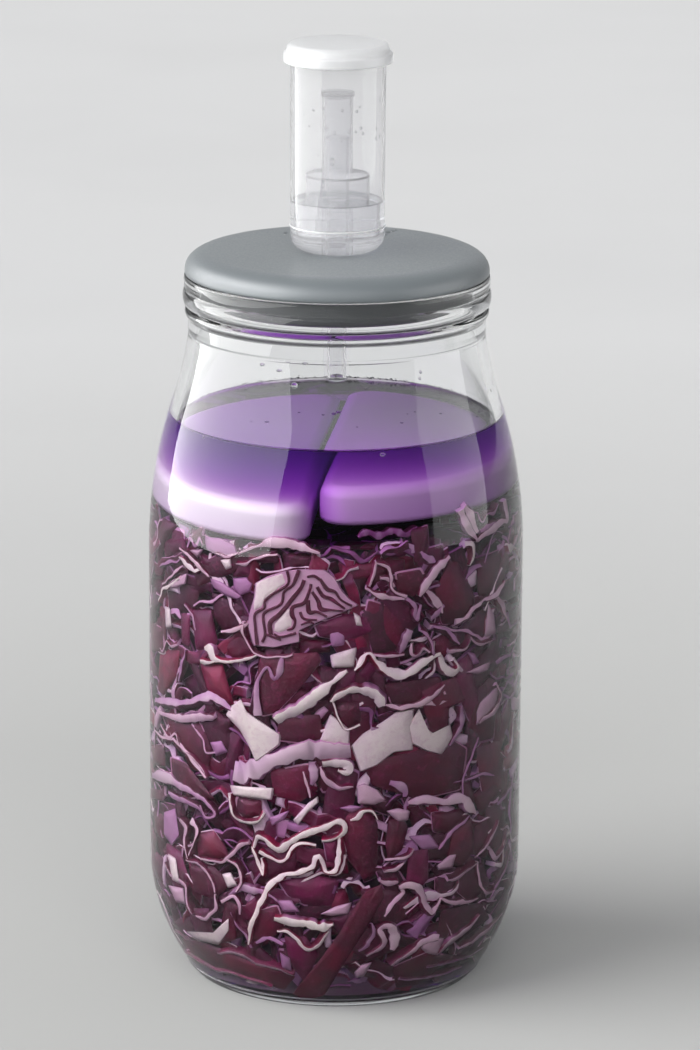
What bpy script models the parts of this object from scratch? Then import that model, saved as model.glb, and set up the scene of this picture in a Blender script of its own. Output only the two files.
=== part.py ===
"""A three-litre glass fermentation jar, shut and full of shredded red cabbage.

Two half-moon weights hold the cabbage down, a silicone lid sits on the rim, and a three-piece
airlock stands in the lid. The origin is at the middle of the base, and +Z is up.
Sizes are in metres.
"""

import math
import random

import bmesh
import bpy
from mathutils import Matrix, Vector

CLEARANCE = 0.0003

# Glass jar
BODY_RADIUS = 0.070
BASE_RADIUS = 0.054
FOOT_OUTER_RADIUS = 0.0525
FOOT_INNER_RADIUS = 0.043
FOOT_ROUND = 0.003
PUNT_HEIGHT = 0.0025
HEEL_HEIGHT = 0.045
SHOULDER_START = 0.165
SHOULDER_END = 0.220
SHOULDER_DROP = 0.009
CREASE_HEIGHT = 0.2456
CREASE_RADIUS = 0.055
NECK_RADIUS = 0.0551
RIM_HEIGHT = 0.2675
RIM_RADIUS = 0.0566
RIM_ROUND = 0.0012
WALL = 0.004
FLOOR_HEIGHT = 0.0055
FLOOR_CROWN = 0.0015
FLOOR_RADIUS = 0.046
FLOOR_EDGE_RADIUS = 0.051
NECK_INNER_RADIUS = 0.0506
JAR_STEPS = 40

# Lid
LID_TOP = 0.2758
LID_RADIUS = 0.0563
LID_EDGE_WIDTH = 0.010
LID_HOLE_RADIUS = 0.0061
PLUG_RADIUS = 0.0499
PLUG_BOTTOM = 0.2580
LID_STEPS = 40

# Airlock
TOTAL_HEIGHT = 0.3533
CUP_RADIUS = 0.0176
CUP_DRAFT = 0.0002
CUP_WALL = 0.0012
CUP_ROUND = 0.006
CUP_TOP = 0.3513
CUP_SEAT = LID_TOP + CLEARANCE
CUP_FLOOR = CUP_SEAT + CUP_WALL
STEM_RADIUS = 0.0058
STEM_TIP_RADIUS = 0.0045
STEM_TIP = 0.2280
BORE_RADIUS = 0.0033
TUBE_RADIUS = 0.0043
TUBE_TOP = 0.3183
WATER_LEVEL = 0.2945
FLOAT_TOP = 0.3352
FLOAT_DISC_RADIUS = 0.0062
FLOAT_TUBE_RADIUS = 0.0056
FLOAT_SHOULDER = 0.3047
FLOAT_SKIRT_RADIUS = 0.0118
FLOAT_BOTTOM = 0.2822
FLOAT_WALL = 0.0008
CAP_BOTTOM = 0.3462
CAP_DISC_RADIUS = 0.0176
CAP_SKIRT_RADIUS = 0.0201
CAP_WALL = 0.0017
AIRLOCK_STEPS = 24

# Weights
WEIGHT_RADIUS = 0.0585
WEIGHT_THICKNESS = 0.014
WEIGHT_TOP_EDGE = 0.0045
WEIGHT_BOTTOM_EDGE = 0.0025
WEIGHT_CORNER = 0.0098
WEIGHT_FLAT_SETBACK = 0.0006
WEIGHT_STEPS = 18
WEIGHT_CORNER_STEPS = 2
WEIGHT_TOP_STEPS = 3
WEIGHT_BOTTOM_STEPS = 2
WEIGHT_TURN = math.radians(-5.8)
LEFT_WEIGHT_CENTRE = (-0.0030, -0.0030, 0.1886)
LEFT_WEIGHT_TILT = math.radians(1.8)
RIGHT_WEIGHT_CENTRE = (-0.0010, 0.0024, 0.1927)

# Cabbage
HEAP_BOTTOM = 0.0080
HEAP_TOP = 0.1772
CORE_SETBACK = 0.0048
CORE_STEPS = 24
SHRED_THICKNESS = 0.0018
SHRED_CELLS = 5
SHREDS_ROUND_THE_WALL = 44
SHREDS_ON_TOP = 7
SHREDS_UNDERNEATH = 3
SLICE_LAYERS = 5
SLICE_HEIGHT = 0.146
SLICE_ANGLE = -0.14
STALK_CHUNKS = 7
STALK_HEIGHT = 0.107
STALK_ANGLE = -0.52
STALK_TURN = 0.94
STALK_SWING = 0.035
GOLDEN_TURN = math.pi * (3 - math.sqrt(5))
FLAT_ENOUGH = math.radians(1.5)

JAR_COLLECTION = bpy.data.collections.new("fermentation_jar")
CUTTERS = bpy.data.collections.new("cutters")


def clear_scene():
    for old in list(bpy.data.objects):
        bpy.data.objects.remove(old, do_unlink=True)
    bpy.context.scene.collection.children.link(JAR_COLLECTION)
    bpy.context.scene.collection.children.link(CUTTERS)
    CUTTERS.hide_render = True


def material(name, colour, roughness, transmission=0.0, ior=1.45):
    made = bpy.data.materials.new(name)
    made.use_nodes = True
    shader = made.node_tree.nodes["Principled BSDF"]
    shader.inputs["Base Color"].default_value = (*colour, 1.0)
    shader.inputs["Roughness"].default_value = roughness
    shader.inputs["Metallic"].default_value = 0.0
    shader.inputs["Transmission Weight"].default_value = transmission
    shader.inputs["IOR"].default_value = ior
    return made


def place(name, mesh, finish, collection=JAR_COLLECTION):
    made = bpy.data.objects.new(name, mesh)
    made.data.materials.append(finish)
    collection.objects.link(made)
    return made


def turned(name, profile, steps, finish, loop=False, collection=JAR_COLLECTION):
    """Turns (radius, height) points about Z. An open profile starts and ends on the axis."""
    mesh = bpy.data.meshes.new(name)
    edges = [(start, start + 1) for start in range(len(profile) - 1)]
    if loop:
        edges.append((len(profile) - 1, 0))
    mesh.from_pydata([(radius, 0.0, height) for radius, height in profile], edges, [])
    made = place(name, mesh, finish, collection)
    screw = made.modifiers.new("turn", "SCREW")
    screw.axis = "Z"
    screw.steps = steps
    screw.render_steps = steps
    screw.use_smooth_shade = True
    screw.use_merge_vertices = True
    screw.merge_threshold = 0.00001
    return made


def quarter(start, end, count, power=2.0):
    """Points after start on a round edge that leaves start level and meets end upright."""
    points = []
    for step in range(1, count + 1):
        angle = 0.5 * math.pi * step / count
        across = math.sin(angle) ** (2 / power)
        down = 1 - math.cos(angle) ** (2 / power)
        points.append((start[0] + (end[0] - start[0]) * across, start[1] + (end[1] - start[1]) * down))
    return points


def foot_round(radius, seat, size, count=3):
    """Points down a rounded foot, from its upright wall to its level underside."""
    points = []
    for step in range(count + 1):
        angle = 0.5 * math.pi * step / count
        points.append((radius - size * (1 - math.cos(angle)), seat + size * (1 - math.sin(angle))))
    return points


def band(top, bottom, edge, belly, count=3):
    """A rounded ring of glass round the neck, from top to bottom."""
    points = []
    for step in range(count + 1):
        part = step / count
        points.append((edge + belly * math.sin(math.pi * part), top + (bottom - top) * part))
    return points


def spread(start, end, count):
    """Evenly spaced heights from start to end, both included."""
    return [start + (end - start) * step / count for step in range(count + 1)]


def outer_radius(height):
    """The outside of the jar's body, from the foot to the crease under the neck."""
    if height < HEEL_HEIGHT:
        left = 1 - height / HEEL_HEIGHT
        return BODY_RADIUS - (BODY_RADIUS - BASE_RADIUS) * left**2
    if height < SHOULDER_START:
        return BODY_RADIUS
    if height < SHOULDER_END:
        part = (height - SHOULDER_START) / (SHOULDER_END - SHOULDER_START)
        return BODY_RADIUS - SHOULDER_DROP * part**2
    slope = 2 * SHOULDER_DROP / (SHOULDER_END - SHOULDER_START)
    reach = CREASE_HEIGHT - SHOULDER_END
    fall = BODY_RADIUS - SHOULDER_DROP - CREASE_RADIUS
    run = height - SHOULDER_END
    return BODY_RADIUS - SHOULDER_DROP - slope * run + (slope * reach - fall) * (run / reach) ** 2


def inner_radius(height):
    """The inside of the jar's body, from the floor to the crease."""
    if height < HEEL_HEIGHT:
        left = 1 - (height - FLOOR_HEIGHT) / (HEEL_HEIGHT - FLOOR_HEIGHT)
        return BODY_RADIUS - WALL - (BODY_RADIUS - WALL - FLOOR_EDGE_RADIUS) * left**2
    return outer_radius(height) - WALL


def jar_inside():
    """From the middle of the floor up to the mouth."""
    points = [(0.0, FLOOR_HEIGHT + FLOOR_CROWN), (0.5 * FLOOR_RADIUS, FLOOR_HEIGHT + 0.7 * FLOOR_CROWN)]
    points.append((FLOOR_RADIUS, FLOOR_HEIGHT - 0.0003))
    points += [(inner_radius(height), height) for height in spread(FLOOR_HEIGHT, HEEL_HEIGHT, 5)]
    points += [(inner_radius(height), height) for height in spread(SHOULDER_START, CREASE_HEIGHT, 6)]
    points.append((NECK_INNER_RADIUS, CREASE_HEIGHT + 0.004))
    points.append((NECK_INNER_RADIUS, RIM_HEIGHT - RIM_ROUND))
    return points


def jar_neck():
    """From the mouth over the rim, and down the neck's rings to the crease."""
    points = [(NECK_INNER_RADIUS + RIM_ROUND, RIM_HEIGHT)]
    points.append((RIM_RADIUS - RIM_ROUND, RIM_HEIGHT))
    points.append((RIM_RADIUS, RIM_HEIGHT - RIM_ROUND))
    points.append((RIM_RADIUS, RIM_HEIGHT - 0.0046))
    points += band(RIM_HEIGHT - 0.0050, RIM_HEIGHT - 0.0110, 0.0565, 0.0006)
    points.append((0.0546, RIM_HEIGHT - 0.0116))
    points += band(RIM_HEIGHT - 0.0122, RIM_HEIGHT - 0.0152, 0.0557, 0.0006, 2)
    points.append((NECK_RADIUS, RIM_HEIGHT - 0.0162))
    points.append((NECK_RADIUS, CREASE_HEIGHT + 0.0007))
    return points


def jar_outside():
    """From the crease down over the shoulder and heel to the middle of the punt."""
    heights = spread(CREASE_HEIGHT, SHOULDER_START, 8) + spread(HEEL_HEIGHT, FOOT_ROUND, 6)
    points = [(outer_radius(height), height) for height in heights]
    points.append((FOOT_OUTER_RADIUS + 0.0022, 0.0008))
    points.append((FOOT_OUTER_RADIUS, 0.0))
    points.append((FOOT_INNER_RADIUS, 0.0))
    points.append((FOOT_INNER_RADIUS - 0.004, 0.6 * PUNT_HEIGHT))
    points.append((0.5 * FOOT_INNER_RADIUS, 0.9 * PUNT_HEIGHT))
    points.append((0.0, PUNT_HEIGHT))
    return points


def glass_jar():
    glass = material("clear_glass", (0.93, 0.95, 0.95), 0.03, 1.0, 1.5)
    turned("glass_jar", jar_inside() + jar_neck() + jar_outside(), JAR_STEPS, glass)


def lid():
    silicone = material("grey_silicone", (0.27, 0.31, 0.33), 0.55)
    seat = RIM_HEIGHT + CLEARANCE
    edge_start = (LID_RADIUS - LID_EDGE_WIDTH, LID_TOP)
    points = [(LID_HOLE_RADIUS, LID_TOP), edge_start]
    points += quarter(edge_start, (LID_RADIUS, seat + 0.0004), 5, 2.3)
    points.append((LID_RADIUS - 0.0004, seat))
    points.append((PLUG_RADIUS, seat))
    points.append((PLUG_RADIUS, PLUG_BOTTOM + 0.0015))
    points.append((PLUG_RADIUS - 0.0015, PLUG_BOTTOM))
    points.append((LID_HOLE_RADIUS, PLUG_BOTTOM))
    turned("lid", points, LID_STEPS, silicone, loop=True)


def airlock_body():
    """The cup, with the stem that goes down through the lid and the tube up its middle."""
    plastic = material("clear_plastic", (0.95, 0.95, 0.96), 0.08, 1.0, 1.46)
    points = [(CUP_RADIUS, CUP_TOP)]
    points += foot_round(CUP_RADIUS - CUP_DRAFT, CUP_SEAT, CUP_ROUND)
    points.append((STEM_RADIUS, CUP_SEAT))
    points.append((STEM_RADIUS, PLUG_BOTTOM))
    points.append((STEM_TIP_RADIUS, STEM_TIP))
    points.append((BORE_RADIUS, STEM_TIP))
    points.append((BORE_RADIUS, TUBE_TOP))
    points.append((TUBE_RADIUS, TUBE_TOP))
    points.append((TUBE_RADIUS, CUP_FLOOR))
    points += reversed(foot_round(CUP_RADIUS - CUP_WALL, CUP_FLOOR, CUP_ROUND - CUP_WALL))
    points.append((CUP_RADIUS - CUP_WALL, CUP_TOP))
    turned("airlock_body", points, AIRLOCK_STEPS, plastic, loop=True)


def airlock_float():
    """A bell closed at the top, whose skirt stands in the water."""
    plastic = material("float_plastic", (0.94, 0.94, 0.95), 0.1, 1.0, 1.46)
    skirt_inside = FLOAT_SKIRT_RADIUS - FLOAT_WALL
    tube_inside = FLOAT_TUBE_RADIUS - FLOAT_WALL
    points = [(0.0, FLOAT_TOP), (FLOAT_DISC_RADIUS - 0.0003, FLOAT_TOP)]
    points.append((FLOAT_DISC_RADIUS, FLOAT_TOP - 0.0012))
    points.append((FLOAT_TUBE_RADIUS, FLOAT_TOP - 0.0018))
    points.append((FLOAT_TUBE_RADIUS, FLOAT_SHOULDER + 0.0010))
    points.append((FLOAT_SKIRT_RADIUS - 0.0010, FLOAT_SHOULDER))
    points.append((FLOAT_SKIRT_RADIUS, FLOAT_SHOULDER - 0.0012))
    points.append((FLOAT_SKIRT_RADIUS, FLOAT_BOTTOM))
    points.append((skirt_inside, FLOAT_BOTTOM))
    points.append((skirt_inside, FLOAT_SHOULDER - 0.0014))
    points.append((tube_inside, FLOAT_SHOULDER))
    points.append((tube_inside, FLOAT_TOP - 0.0014))
    points.append((0.0, FLOAT_TOP - 0.0014))
    turned("airlock_float", points, AIRLOCK_STEPS, plastic)


def airlock_water():
    """Fills the foot of the cup, outside and inside the float's skirt and round the tube."""
    water = material("clear_water", (0.96, 0.97, 0.98), 0.0, 1.0, 1.33)
    outer = CUP_RADIUS - CUP_WALL - CLEARANCE
    bottom = CUP_FLOOR + CLEARANCE
    points = [(outer, WATER_LEVEL)]
    points += foot_round(outer, bottom, CUP_ROUND - CUP_WALL - CLEARANCE)
    points.append((TUBE_RADIUS + CLEARANCE, bottom))
    points.append((TUBE_RADIUS + CLEARANCE, WATER_LEVEL))
    points.append((FLOAT_SKIRT_RADIUS - FLOAT_WALL - CLEARANCE, WATER_LEVEL))
    points.append((FLOAT_SKIRT_RADIUS - FLOAT_WALL - CLEARANCE, FLOAT_BOTTOM - CLEARANCE))
    points.append((FLOAT_SKIRT_RADIUS + CLEARANCE, FLOAT_BOTTOM - CLEARANCE))
    points.append((FLOAT_SKIRT_RADIUS + CLEARANCE, WATER_LEVEL))
    turned("airlock_water", points, AIRLOCK_STEPS, water, loop=True)


def airlock_cap():
    frosted = material("milky_plastic", (0.82, 0.83, 0.84), 0.35, 0.3, 1.46)
    inside = CUP_RADIUS + CLEARANCE
    underside = TOTAL_HEIGHT - CAP_WALL
    points = [(0.0, TOTAL_HEIGHT), (CAP_DISC_RADIUS - 0.0010, TOTAL_HEIGHT)]
    points.append((CAP_DISC_RADIUS, TOTAL_HEIGHT - 0.0006))
    points.append((CAP_DISC_RADIUS + 0.0011, TOTAL_HEIGHT - 0.0030))
    points.append((CAP_SKIRT_RADIUS - 0.0006, CAP_BOTTOM + 0.0014))
    points.append((CAP_SKIRT_RADIUS, CAP_BOTTOM + 0.0008))
    points.append((CAP_SKIRT_RADIUS, CAP_BOTTOM))
    points.append((inside, CAP_BOTTOM))
    points.append((inside, underside))
    points.append((0.0, underside))
    turned("airlock_cap", points, AIRLOCK_STEPS, frosted)


def half_disc(inset):
    """The outline of half a disc with two round corners, this far in from its full size."""
    radius = WEIGHT_RADIUS - inset
    flat = WEIGHT_FLAT_SETBACK + inset
    corner = WEIGHT_CORNER - inset
    middle_x = flat + corner
    middle_y = math.sqrt((radius - corner) ** 2 - middle_x**2)
    open_turn = math.atan2(middle_y, middle_x)
    points = []
    for turn in spread(-open_turn, open_turn, WEIGHT_STEPS):
        points.append((radius * math.cos(turn), radius * math.sin(turn)))
    for turn in spread(open_turn, math.pi, WEIGHT_CORNER_STEPS)[1:]:
        points.append((middle_x + corner * math.cos(turn), middle_y + corner * math.sin(turn)))
    for turn in spread(-math.pi, -open_turn, WEIGHT_CORNER_STEPS)[:-1]:
        points.append((middle_x + corner * math.cos(turn), -middle_y + corner * math.sin(turn)))
    return points


def weight(name, centre, side, finish, tilt=0.0):
    """Half of a thick disc with a well-rounded top edge, on the -X side or the +X side of the split."""
    half = 0.5 * WEIGHT_THICKNESS
    levels = []
    for turn in spread(-0.5 * math.pi, 0, WEIGHT_BOTTOM_STEPS):
        lift = WEIGHT_BOTTOM_EDGE * math.sin(turn)
        levels.append((WEIGHT_BOTTOM_EDGE * (1 - math.cos(turn)), WEIGHT_BOTTOM_EDGE - half + lift))
    for turn in spread(0, 0.5 * math.pi, WEIGHT_TOP_STEPS):
        lift = WEIGHT_TOP_EDGE * math.sin(turn)
        levels.append((WEIGHT_TOP_EDGE * (1 - math.cos(turn)), half - WEIGHT_TOP_EDGE + lift))
    mesh = bpy.data.meshes.new(name)
    shape = bmesh.new()
    rings = []
    for inset, height in levels:
        rings.append([shape.verts.new((side * x, y, height)) for x, y in half_disc(inset)])
    for lower, upper in zip(rings, rings[1:]):
        for index in range(len(lower)):
            after = (index + 1) % len(lower)
            shape.faces.new((lower[index], lower[after], upper[after], upper[index]))
    shape.faces.new(rings[0])
    shape.faces.new(rings[-1])
    bmesh.ops.recalc_face_normals(shape, faces=shape.faces)
    shape.to_mesh(mesh)
    shape.free()
    mesh.shade_smooth()
    made = place(name, mesh, finish)
    made.location = centre
    made.rotation_euler = (tilt, 0, WEIGHT_TURN)


def weights():
    stoneware = material("white_stoneware", (0.86, 0.85, 0.82), 0.3)
    weight("weight_left", LEFT_WEIGHT_CENTRE, -1, stoneware, LEFT_WEIGHT_TILT)
    weight("weight_right", RIGHT_WEIGHT_CENTRE, 1, stoneware)


def wall_point(angle, height, depth):
    """A point at this depth in from the inside of the glass."""
    safe_height = min(max(height, FLOOR_HEIGHT), CREASE_HEIGHT)
    radius = inner_radius(safe_height) - depth
    return Vector((radius * math.sin(angle), -radius * math.cos(angle), height))


def strip(name, finish, point_at, cells=SHRED_CELLS, thickness=SHRED_THICKNESS):
    """A thin shred: a narrow grid bent by point_at(along, across), made solid."""
    mesh = bpy.data.meshes.new(name)
    shape = bmesh.new()
    bmesh.ops.create_grid(shape, x_segments=cells, y_segments=1, size=0.5)
    for vertex in shape.verts:
        vertex.co = point_at(vertex.co.x, vertex.co.y)
    shape.to_mesh(mesh)
    shape.free()
    made = place(name, mesh, finish, CUTTERS)
    solid = made.modifiers.new("leaf", "SOLIDIFY")
    solid.thickness = thickness
    solid.offset = 0.0
    made.hide_render = True
    made.display_type = "WIRE"
    return made


def wall_shred(index, draw, finish):
    """A shred pressed against the glass, following the wall with a slow wave."""
    part = (index + 0.5) / SHREDS_ROUND_THE_WALL
    middle_height = HEAP_BOTTOM + 0.010 + (HEAP_TOP - HEAP_BOTTOM - 0.014) * part
    middle_angle = index * GOLDEN_TURN
    long = draw.uniform(0.036, 0.064)
    wide = draw.choice((0.005, 0.008, 0.011, 0.015))
    lean = math.radians(draw.uniform(-38, 38))
    wave = draw.uniform(0.0, 0.004)
    turn = draw.uniform(0, 2 * math.pi)
    depth = draw.uniform(0.0014, 0.0034)

    def point_at(along, across):
        run = long * along * math.cos(lean) - wide * across * math.sin(lean)
        rise = long * along * math.sin(lean) + wide * across * math.cos(lean)
        rise += wave * math.sin(5 * along + turn)
        height = min(max(middle_height + rise, HEAP_BOTTOM + 0.001), HEAP_TOP + 0.001)
        sink = 0.0032 * (2 * along) ** 4
        return wall_point(middle_angle + run / BODY_RADIUS, height, depth + sink)

    return strip(f"wall_shred_{index}", finish, point_at)


def flat_shred(name, draw, finish, level, reach):
    """A shred lying across the top or the bottom of the heap."""
    middle = Vector((draw.uniform(-reach, reach), draw.uniform(-reach, reach), level))
    heading = draw.uniform(0, 2 * math.pi)
    long = draw.uniform(0.035, 0.055)
    wide = draw.uniform(0.006, 0.011)
    bend = draw.uniform(-0.008, 0.008)
    turn = Matrix.Rotation(heading, 3, "Z")

    def point_at(along, across):
        rise = 0.0006 * math.sin(9 * along)
        return middle + turn @ Vector((long * along, wide * across + bend * (2 * along) ** 2, rise))

    return strip(name, finish, point_at)


def heart_slice(finish):
    """The cut heart of the cabbage at the front: leaves stacked as wavy layers."""
    made = []
    for layer in range(SLICE_LAYERS):
        height = SLICE_HEIGHT + 0.0064 * layer
        half = 0.30 + 0.05 * math.sin(1.7 * layer)

        def point_at(along, across, height=height, half=half, layer=layer):
            wave = 0.0016 * math.sin(11 * along + 0.8 * layer)
            angle = SLICE_ANGLE + 2 * half * along
            return wall_point(angle, height + wave - 0.010 * along, 0.0035 + 0.005 * across)

        made.append(strip(f"heart_layer_{layer}", finish, point_at, 7, 0.0022))
    return made


def stalk_chunks(finish):
    """Thick white ribs, the largest pieces against the glass."""
    made = []
    for index in range(STALK_CHUNKS):
        angle = STALK_ANGLE + index * STALK_TURN
        height = STALK_HEIGHT + STALK_SWING * math.sin(1.9 * index * (index - 1))
        lean = 0.4 * math.cos(2.3 * index)

        def point_at(along, across, angle=angle, height=height, lean=lean):
            run = 0.030 * along - 0.009 * across * lean
            rise = 0.030 * along * lean + 0.009 * across
            return wall_point(angle + run / BODY_RADIUS, height + rise, 0.0032)

        made.append(strip(f"stalk_{index}", finish, point_at, 3, 0.0042))
    return made


def heap_core(finish):
    """The smaller core that carries every shred."""
    heights = spread(HEAP_TOP - 0.004, HEEL_HEIGHT, 5) + spread(0.034, HEAP_BOTTOM + 0.003, 3)
    profile = [(0.0, HEAP_TOP - 0.001), (inner_radius(HEAP_TOP) - CORE_SETBACK - 0.008, HEAP_TOP - 0.001)]
    profile += [(inner_radius(height) - CORE_SETBACK, height) for height in heights]
    profile.append((FLOOR_RADIUS - 0.002, HEAP_BOTTOM))
    profile.append((0.0, HEAP_BOTTOM))
    return turned("heap_core", profile, CORE_STEPS, finish, collection=CUTTERS)


def keep_largest_body(mesh):
    """Drops loose scraps and fills sealed hollows, which are the smaller closed surfaces."""
    shape = bmesh.new()
    shape.from_mesh(mesh)
    bmesh.ops.remove_doubles(shape, verts=shape.verts, dist=0.00002)
    bmesh.ops.dissolve_degenerate(shape, edges=shape.edges, dist=0.00002)
    bmesh.ops.dissolve_limit(shape, angle_limit=FLAT_ENOUGH, verts=shape.verts, edges=shape.edges)
    bmesh.ops.triangulate(shape, faces=shape.faces)
    waiting = set(shape.verts)
    bodies = []
    while waiting:
        reached = [waiting.pop()]
        body = set(reached)
        while reached:
            for edge in reached.pop().link_edges:
                for vertex in edge.verts:
                    if vertex in waiting:
                        waiting.discard(vertex)
                        body.add(vertex)
                        reached.append(vertex)
        bodies.append(body)
    bodies.sort(key=len)
    loose = [vertex for body in bodies[:-1] for vertex in body]
    bmesh.ops.delete(shape, geom=loose, context="VERTS")
    shape.to_mesh(mesh)
    shape.free()


def cabbage_heap():
    cabbage = material("red_cabbage", (0.22, 0.03, 0.10), 0.5)
    draw = random.Random(7)
    core = heap_core(cabbage)
    pieces = heart_slice(cabbage) + stalk_chunks(cabbage)
    for index in range(SHREDS_ROUND_THE_WALL):
        pieces.append(wall_shred(index, draw, cabbage))
    for index in range(SHREDS_ON_TOP):
        pieces.append(flat_shred(f"top_shred_{index}", draw, cabbage, HEAP_TOP + 0.0002, 0.030))
    for index in range(SHREDS_UNDERNEATH):
        pieces.append(flat_shred(f"floor_shred_{index}", draw, cabbage, HEAP_BOTTOM + 0.0005, 0.014))
    CUTTERS.objects.unlink(core)
    JAR_COLLECTION.objects.link(core)
    union = core.modifiers.new("fuse", "BOOLEAN")
    union.operation = "UNION"
    union.operand_type = "COLLECTION"
    union.collection = CUTTERS
    union.solver = "EXACT"
    bpy.context.view_layer.update()
    graph = bpy.context.evaluated_depsgraph_get()
    fused = bpy.data.meshes.new_from_object(core.evaluated_get(graph))
    keep_largest_body(fused)
    fused.name = "cabbage_heap"
    fused.shade_smooth()
    fused.set_sharp_from_angle(angle=math.radians(35))
    for piece in pieces + [core]:
        bpy.data.objects.remove(piece, do_unlink=True)
    fused.materials.clear()
    place("cabbage_heap", fused, cabbage)


def main():
    clear_scene()
    glass_jar()
    lid()
    airlock_body()
    airlock_float()
    airlock_water()
    airlock_cap()
    weights()
    cabbage_heap()


main()
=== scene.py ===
"""The looks of a shut glass jar of fermenting red cabbage, with half-moon weights, a silicone lid
and an airlock. Everything is in metres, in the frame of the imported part: the jar's axis is Z, its
base is at the origin, and the photograph's camera is on the -Y side.
"""

import math
import random

import bmesh
import bpy
from mathutils import Matrix, Vector, noise


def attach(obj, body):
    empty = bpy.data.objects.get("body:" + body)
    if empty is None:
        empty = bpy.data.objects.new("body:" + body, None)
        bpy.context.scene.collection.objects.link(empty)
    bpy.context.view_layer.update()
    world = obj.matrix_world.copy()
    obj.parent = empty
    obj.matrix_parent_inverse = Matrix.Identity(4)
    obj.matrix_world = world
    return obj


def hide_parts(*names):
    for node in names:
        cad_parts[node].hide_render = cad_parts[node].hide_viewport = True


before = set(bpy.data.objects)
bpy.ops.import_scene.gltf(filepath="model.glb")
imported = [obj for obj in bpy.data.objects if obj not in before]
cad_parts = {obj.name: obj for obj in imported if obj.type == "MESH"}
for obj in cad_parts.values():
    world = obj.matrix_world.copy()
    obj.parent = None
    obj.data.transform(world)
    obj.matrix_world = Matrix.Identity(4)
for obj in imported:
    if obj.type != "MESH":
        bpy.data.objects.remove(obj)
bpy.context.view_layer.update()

# The photograph's frame, in its own pixels, and the camera that matches it
PHOTO_WIDTH = 700
PHOTO_HEIGHT = 1050
FOCAL_PIXELS = 5000
CAMERA_PITCH = math.radians(14.75)
CAMERA_ROLL = math.radians(0.3)
CAMERA_DISTANCE = 1.869
AXIS_COLUMN = 336.0
SCALE = FOCAL_PIXELS / CAMERA_DISTANCE
PIXEL = 1 / SCALE
AIM_HEIGHT = 0.1713

# Glass jar, as in the solid
BODY_RADIUS = 0.070
BASE_RADIUS = 0.054
FOOT_OUTER_RADIUS = 0.0525
FOOT_INNER_RADIUS = 0.043
PUNT_HEIGHT = 0.0014
HEEL_HEIGHT = 0.045
SHOULDER_START = 0.165
SHOULDER_END = 0.220
SHOULDER_DROP = 0.009
CREASE_HEIGHT = 0.2456
CREASE_RADIUS = 0.055
NECK_RADIUS = 0.0551
RIM_HEIGHT = 0.2675
RIM_RADIUS = 0.0566
WALL = 0.004
FLOOR_HEIGHT = 0.0034
FLOOR_CROWN = 0.0010
FLOOR_RADIUS = 0.046
FLOOR_EDGE_RADIUS = 0.0520
FLOOR_DIP = 0.0003
NECK_INNER_RADIUS = 0.0506

# The two rounded rings of glass at the neck
UPPER_BAND_TOP = RIM_HEIGHT - 0.0050
UPPER_BAND_BOTTOM = RIM_HEIGHT - 0.0110
UPPER_BAND_RADIUS = 0.0563
LOWER_BAND_TOP = RIM_HEIGHT - 0.0122
LOWER_BAND_BOTTOM = RIM_HEIGHT - 0.0152
LOWER_BAND_RADIUS = 0.0555
BAND_BELLY = 0.0008

GLASS_INDEX = 1.5
BRINE_INDEX = 1.34

# Contents
BRINE_LEVEL = 0.2137
BRINE_INTO_GLASS = 0.0006
SHEEN_LIFT = 0.00005
MENISCUS_WIDTH = 0.0032
MENISCUS_RISE = 0.0011
HEAP_BOTTOM = 0.0052
HEAP_TOP = 0.1790
# How far round from the front the pieces of the photograph reach
FRONT_ARC = math.radians(74)
# Half of a shred's thickness, as a share of the breadth that its path gives
EDGE_SHARE = 0.68
WEIGHT_RADIUS = 0.0585
WEIGHT_THICKNESS = 0.014
WEIGHT_TOP_EDGE = 0.0045
WEIGHT_BOTTOM_EDGE = 0.0025
WEIGHT_CORNER = 0.0098
WEIGHT_SETBACK = 0.0006
WEIGHT_TURN = math.radians(-5.8)
LEFT_WEIGHT_CENTRE = (-0.0030, -0.0030, 0.1886)
LEFT_WEIGHT_TILT = math.radians(1.8)
RIGHT_WEIGHT_CENTRE = (-0.0010, 0.0024, 0.1927)

# Lid and airlock, as in the solids
CLEARANCE = 0.0003
LID_TOP = 0.2758
LID_RADIUS = 0.0563
LID_HOLE_RADIUS = 0.0061
PLUG_RADIUS = 0.0499
PLUG_BOTTOM = 0.2580
TOTAL_HEIGHT = 0.3533
CUP_RADIUS = 0.0176
CUP_WALL = 0.0012
CUP_ROUND = 0.006
CUP_TOP = 0.3513
RING_LEVEL = 0.2857
RING_HEIGHT = 0.0007
CUP_SEAT = LID_TOP + CLEARANCE
CUP_FLOOR = CUP_SEAT + CUP_WALL
STEM_RADIUS = 0.0058
STEM_TIP_RADIUS = 0.0045
STEM_TIP = 0.2280
BORE_RADIUS = 0.0033
TUBE_RADIUS = 0.0043
TUBE_TOP = 0.3183
WATER_LEVEL = 0.2945
FLOAT_TOP = 0.3352
FLOAT_DISC_RADIUS = 0.0062
FLOAT_TUBE_RADIUS = 0.0056
FLOAT_SHOULDER = 0.3047
FLOAT_SKIRT_RADIUS = 0.0118
FLOAT_BOTTOM = 0.2822
FLOAT_WALL = 0.0008
CAP_BOTTOM = 0.3462
CAP_DISC_RADIUS = 0.0176
CAP_SKIRT_RADIUS = 0.0201
CAP_WALL = 0.0017

# Sides of the turned meshes
JAR_SIDES = 192
BRINE_SIDES = 160
LID_SIDES = 128
HEAP_SIDES = 120
AIRLOCK_SIDES = 96
FLOAT_SIDES = 80

# Stage, light and camera
FLOOR_SIDE = 6
FLOOR_NEAR = 3
FLOOR_FAR = 9
SENSOR_WIDTH = 36.0
CLEAR_BOUNCES = 24
ROOM_LOW = (0.15, 0.155, 0.16)
ROOM_WALL = (0.56, 0.565, 0.58)
ROOM_HIGH = (0.38, 0.385, 0.395)
WINDOW_AIM = 0.14

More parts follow.
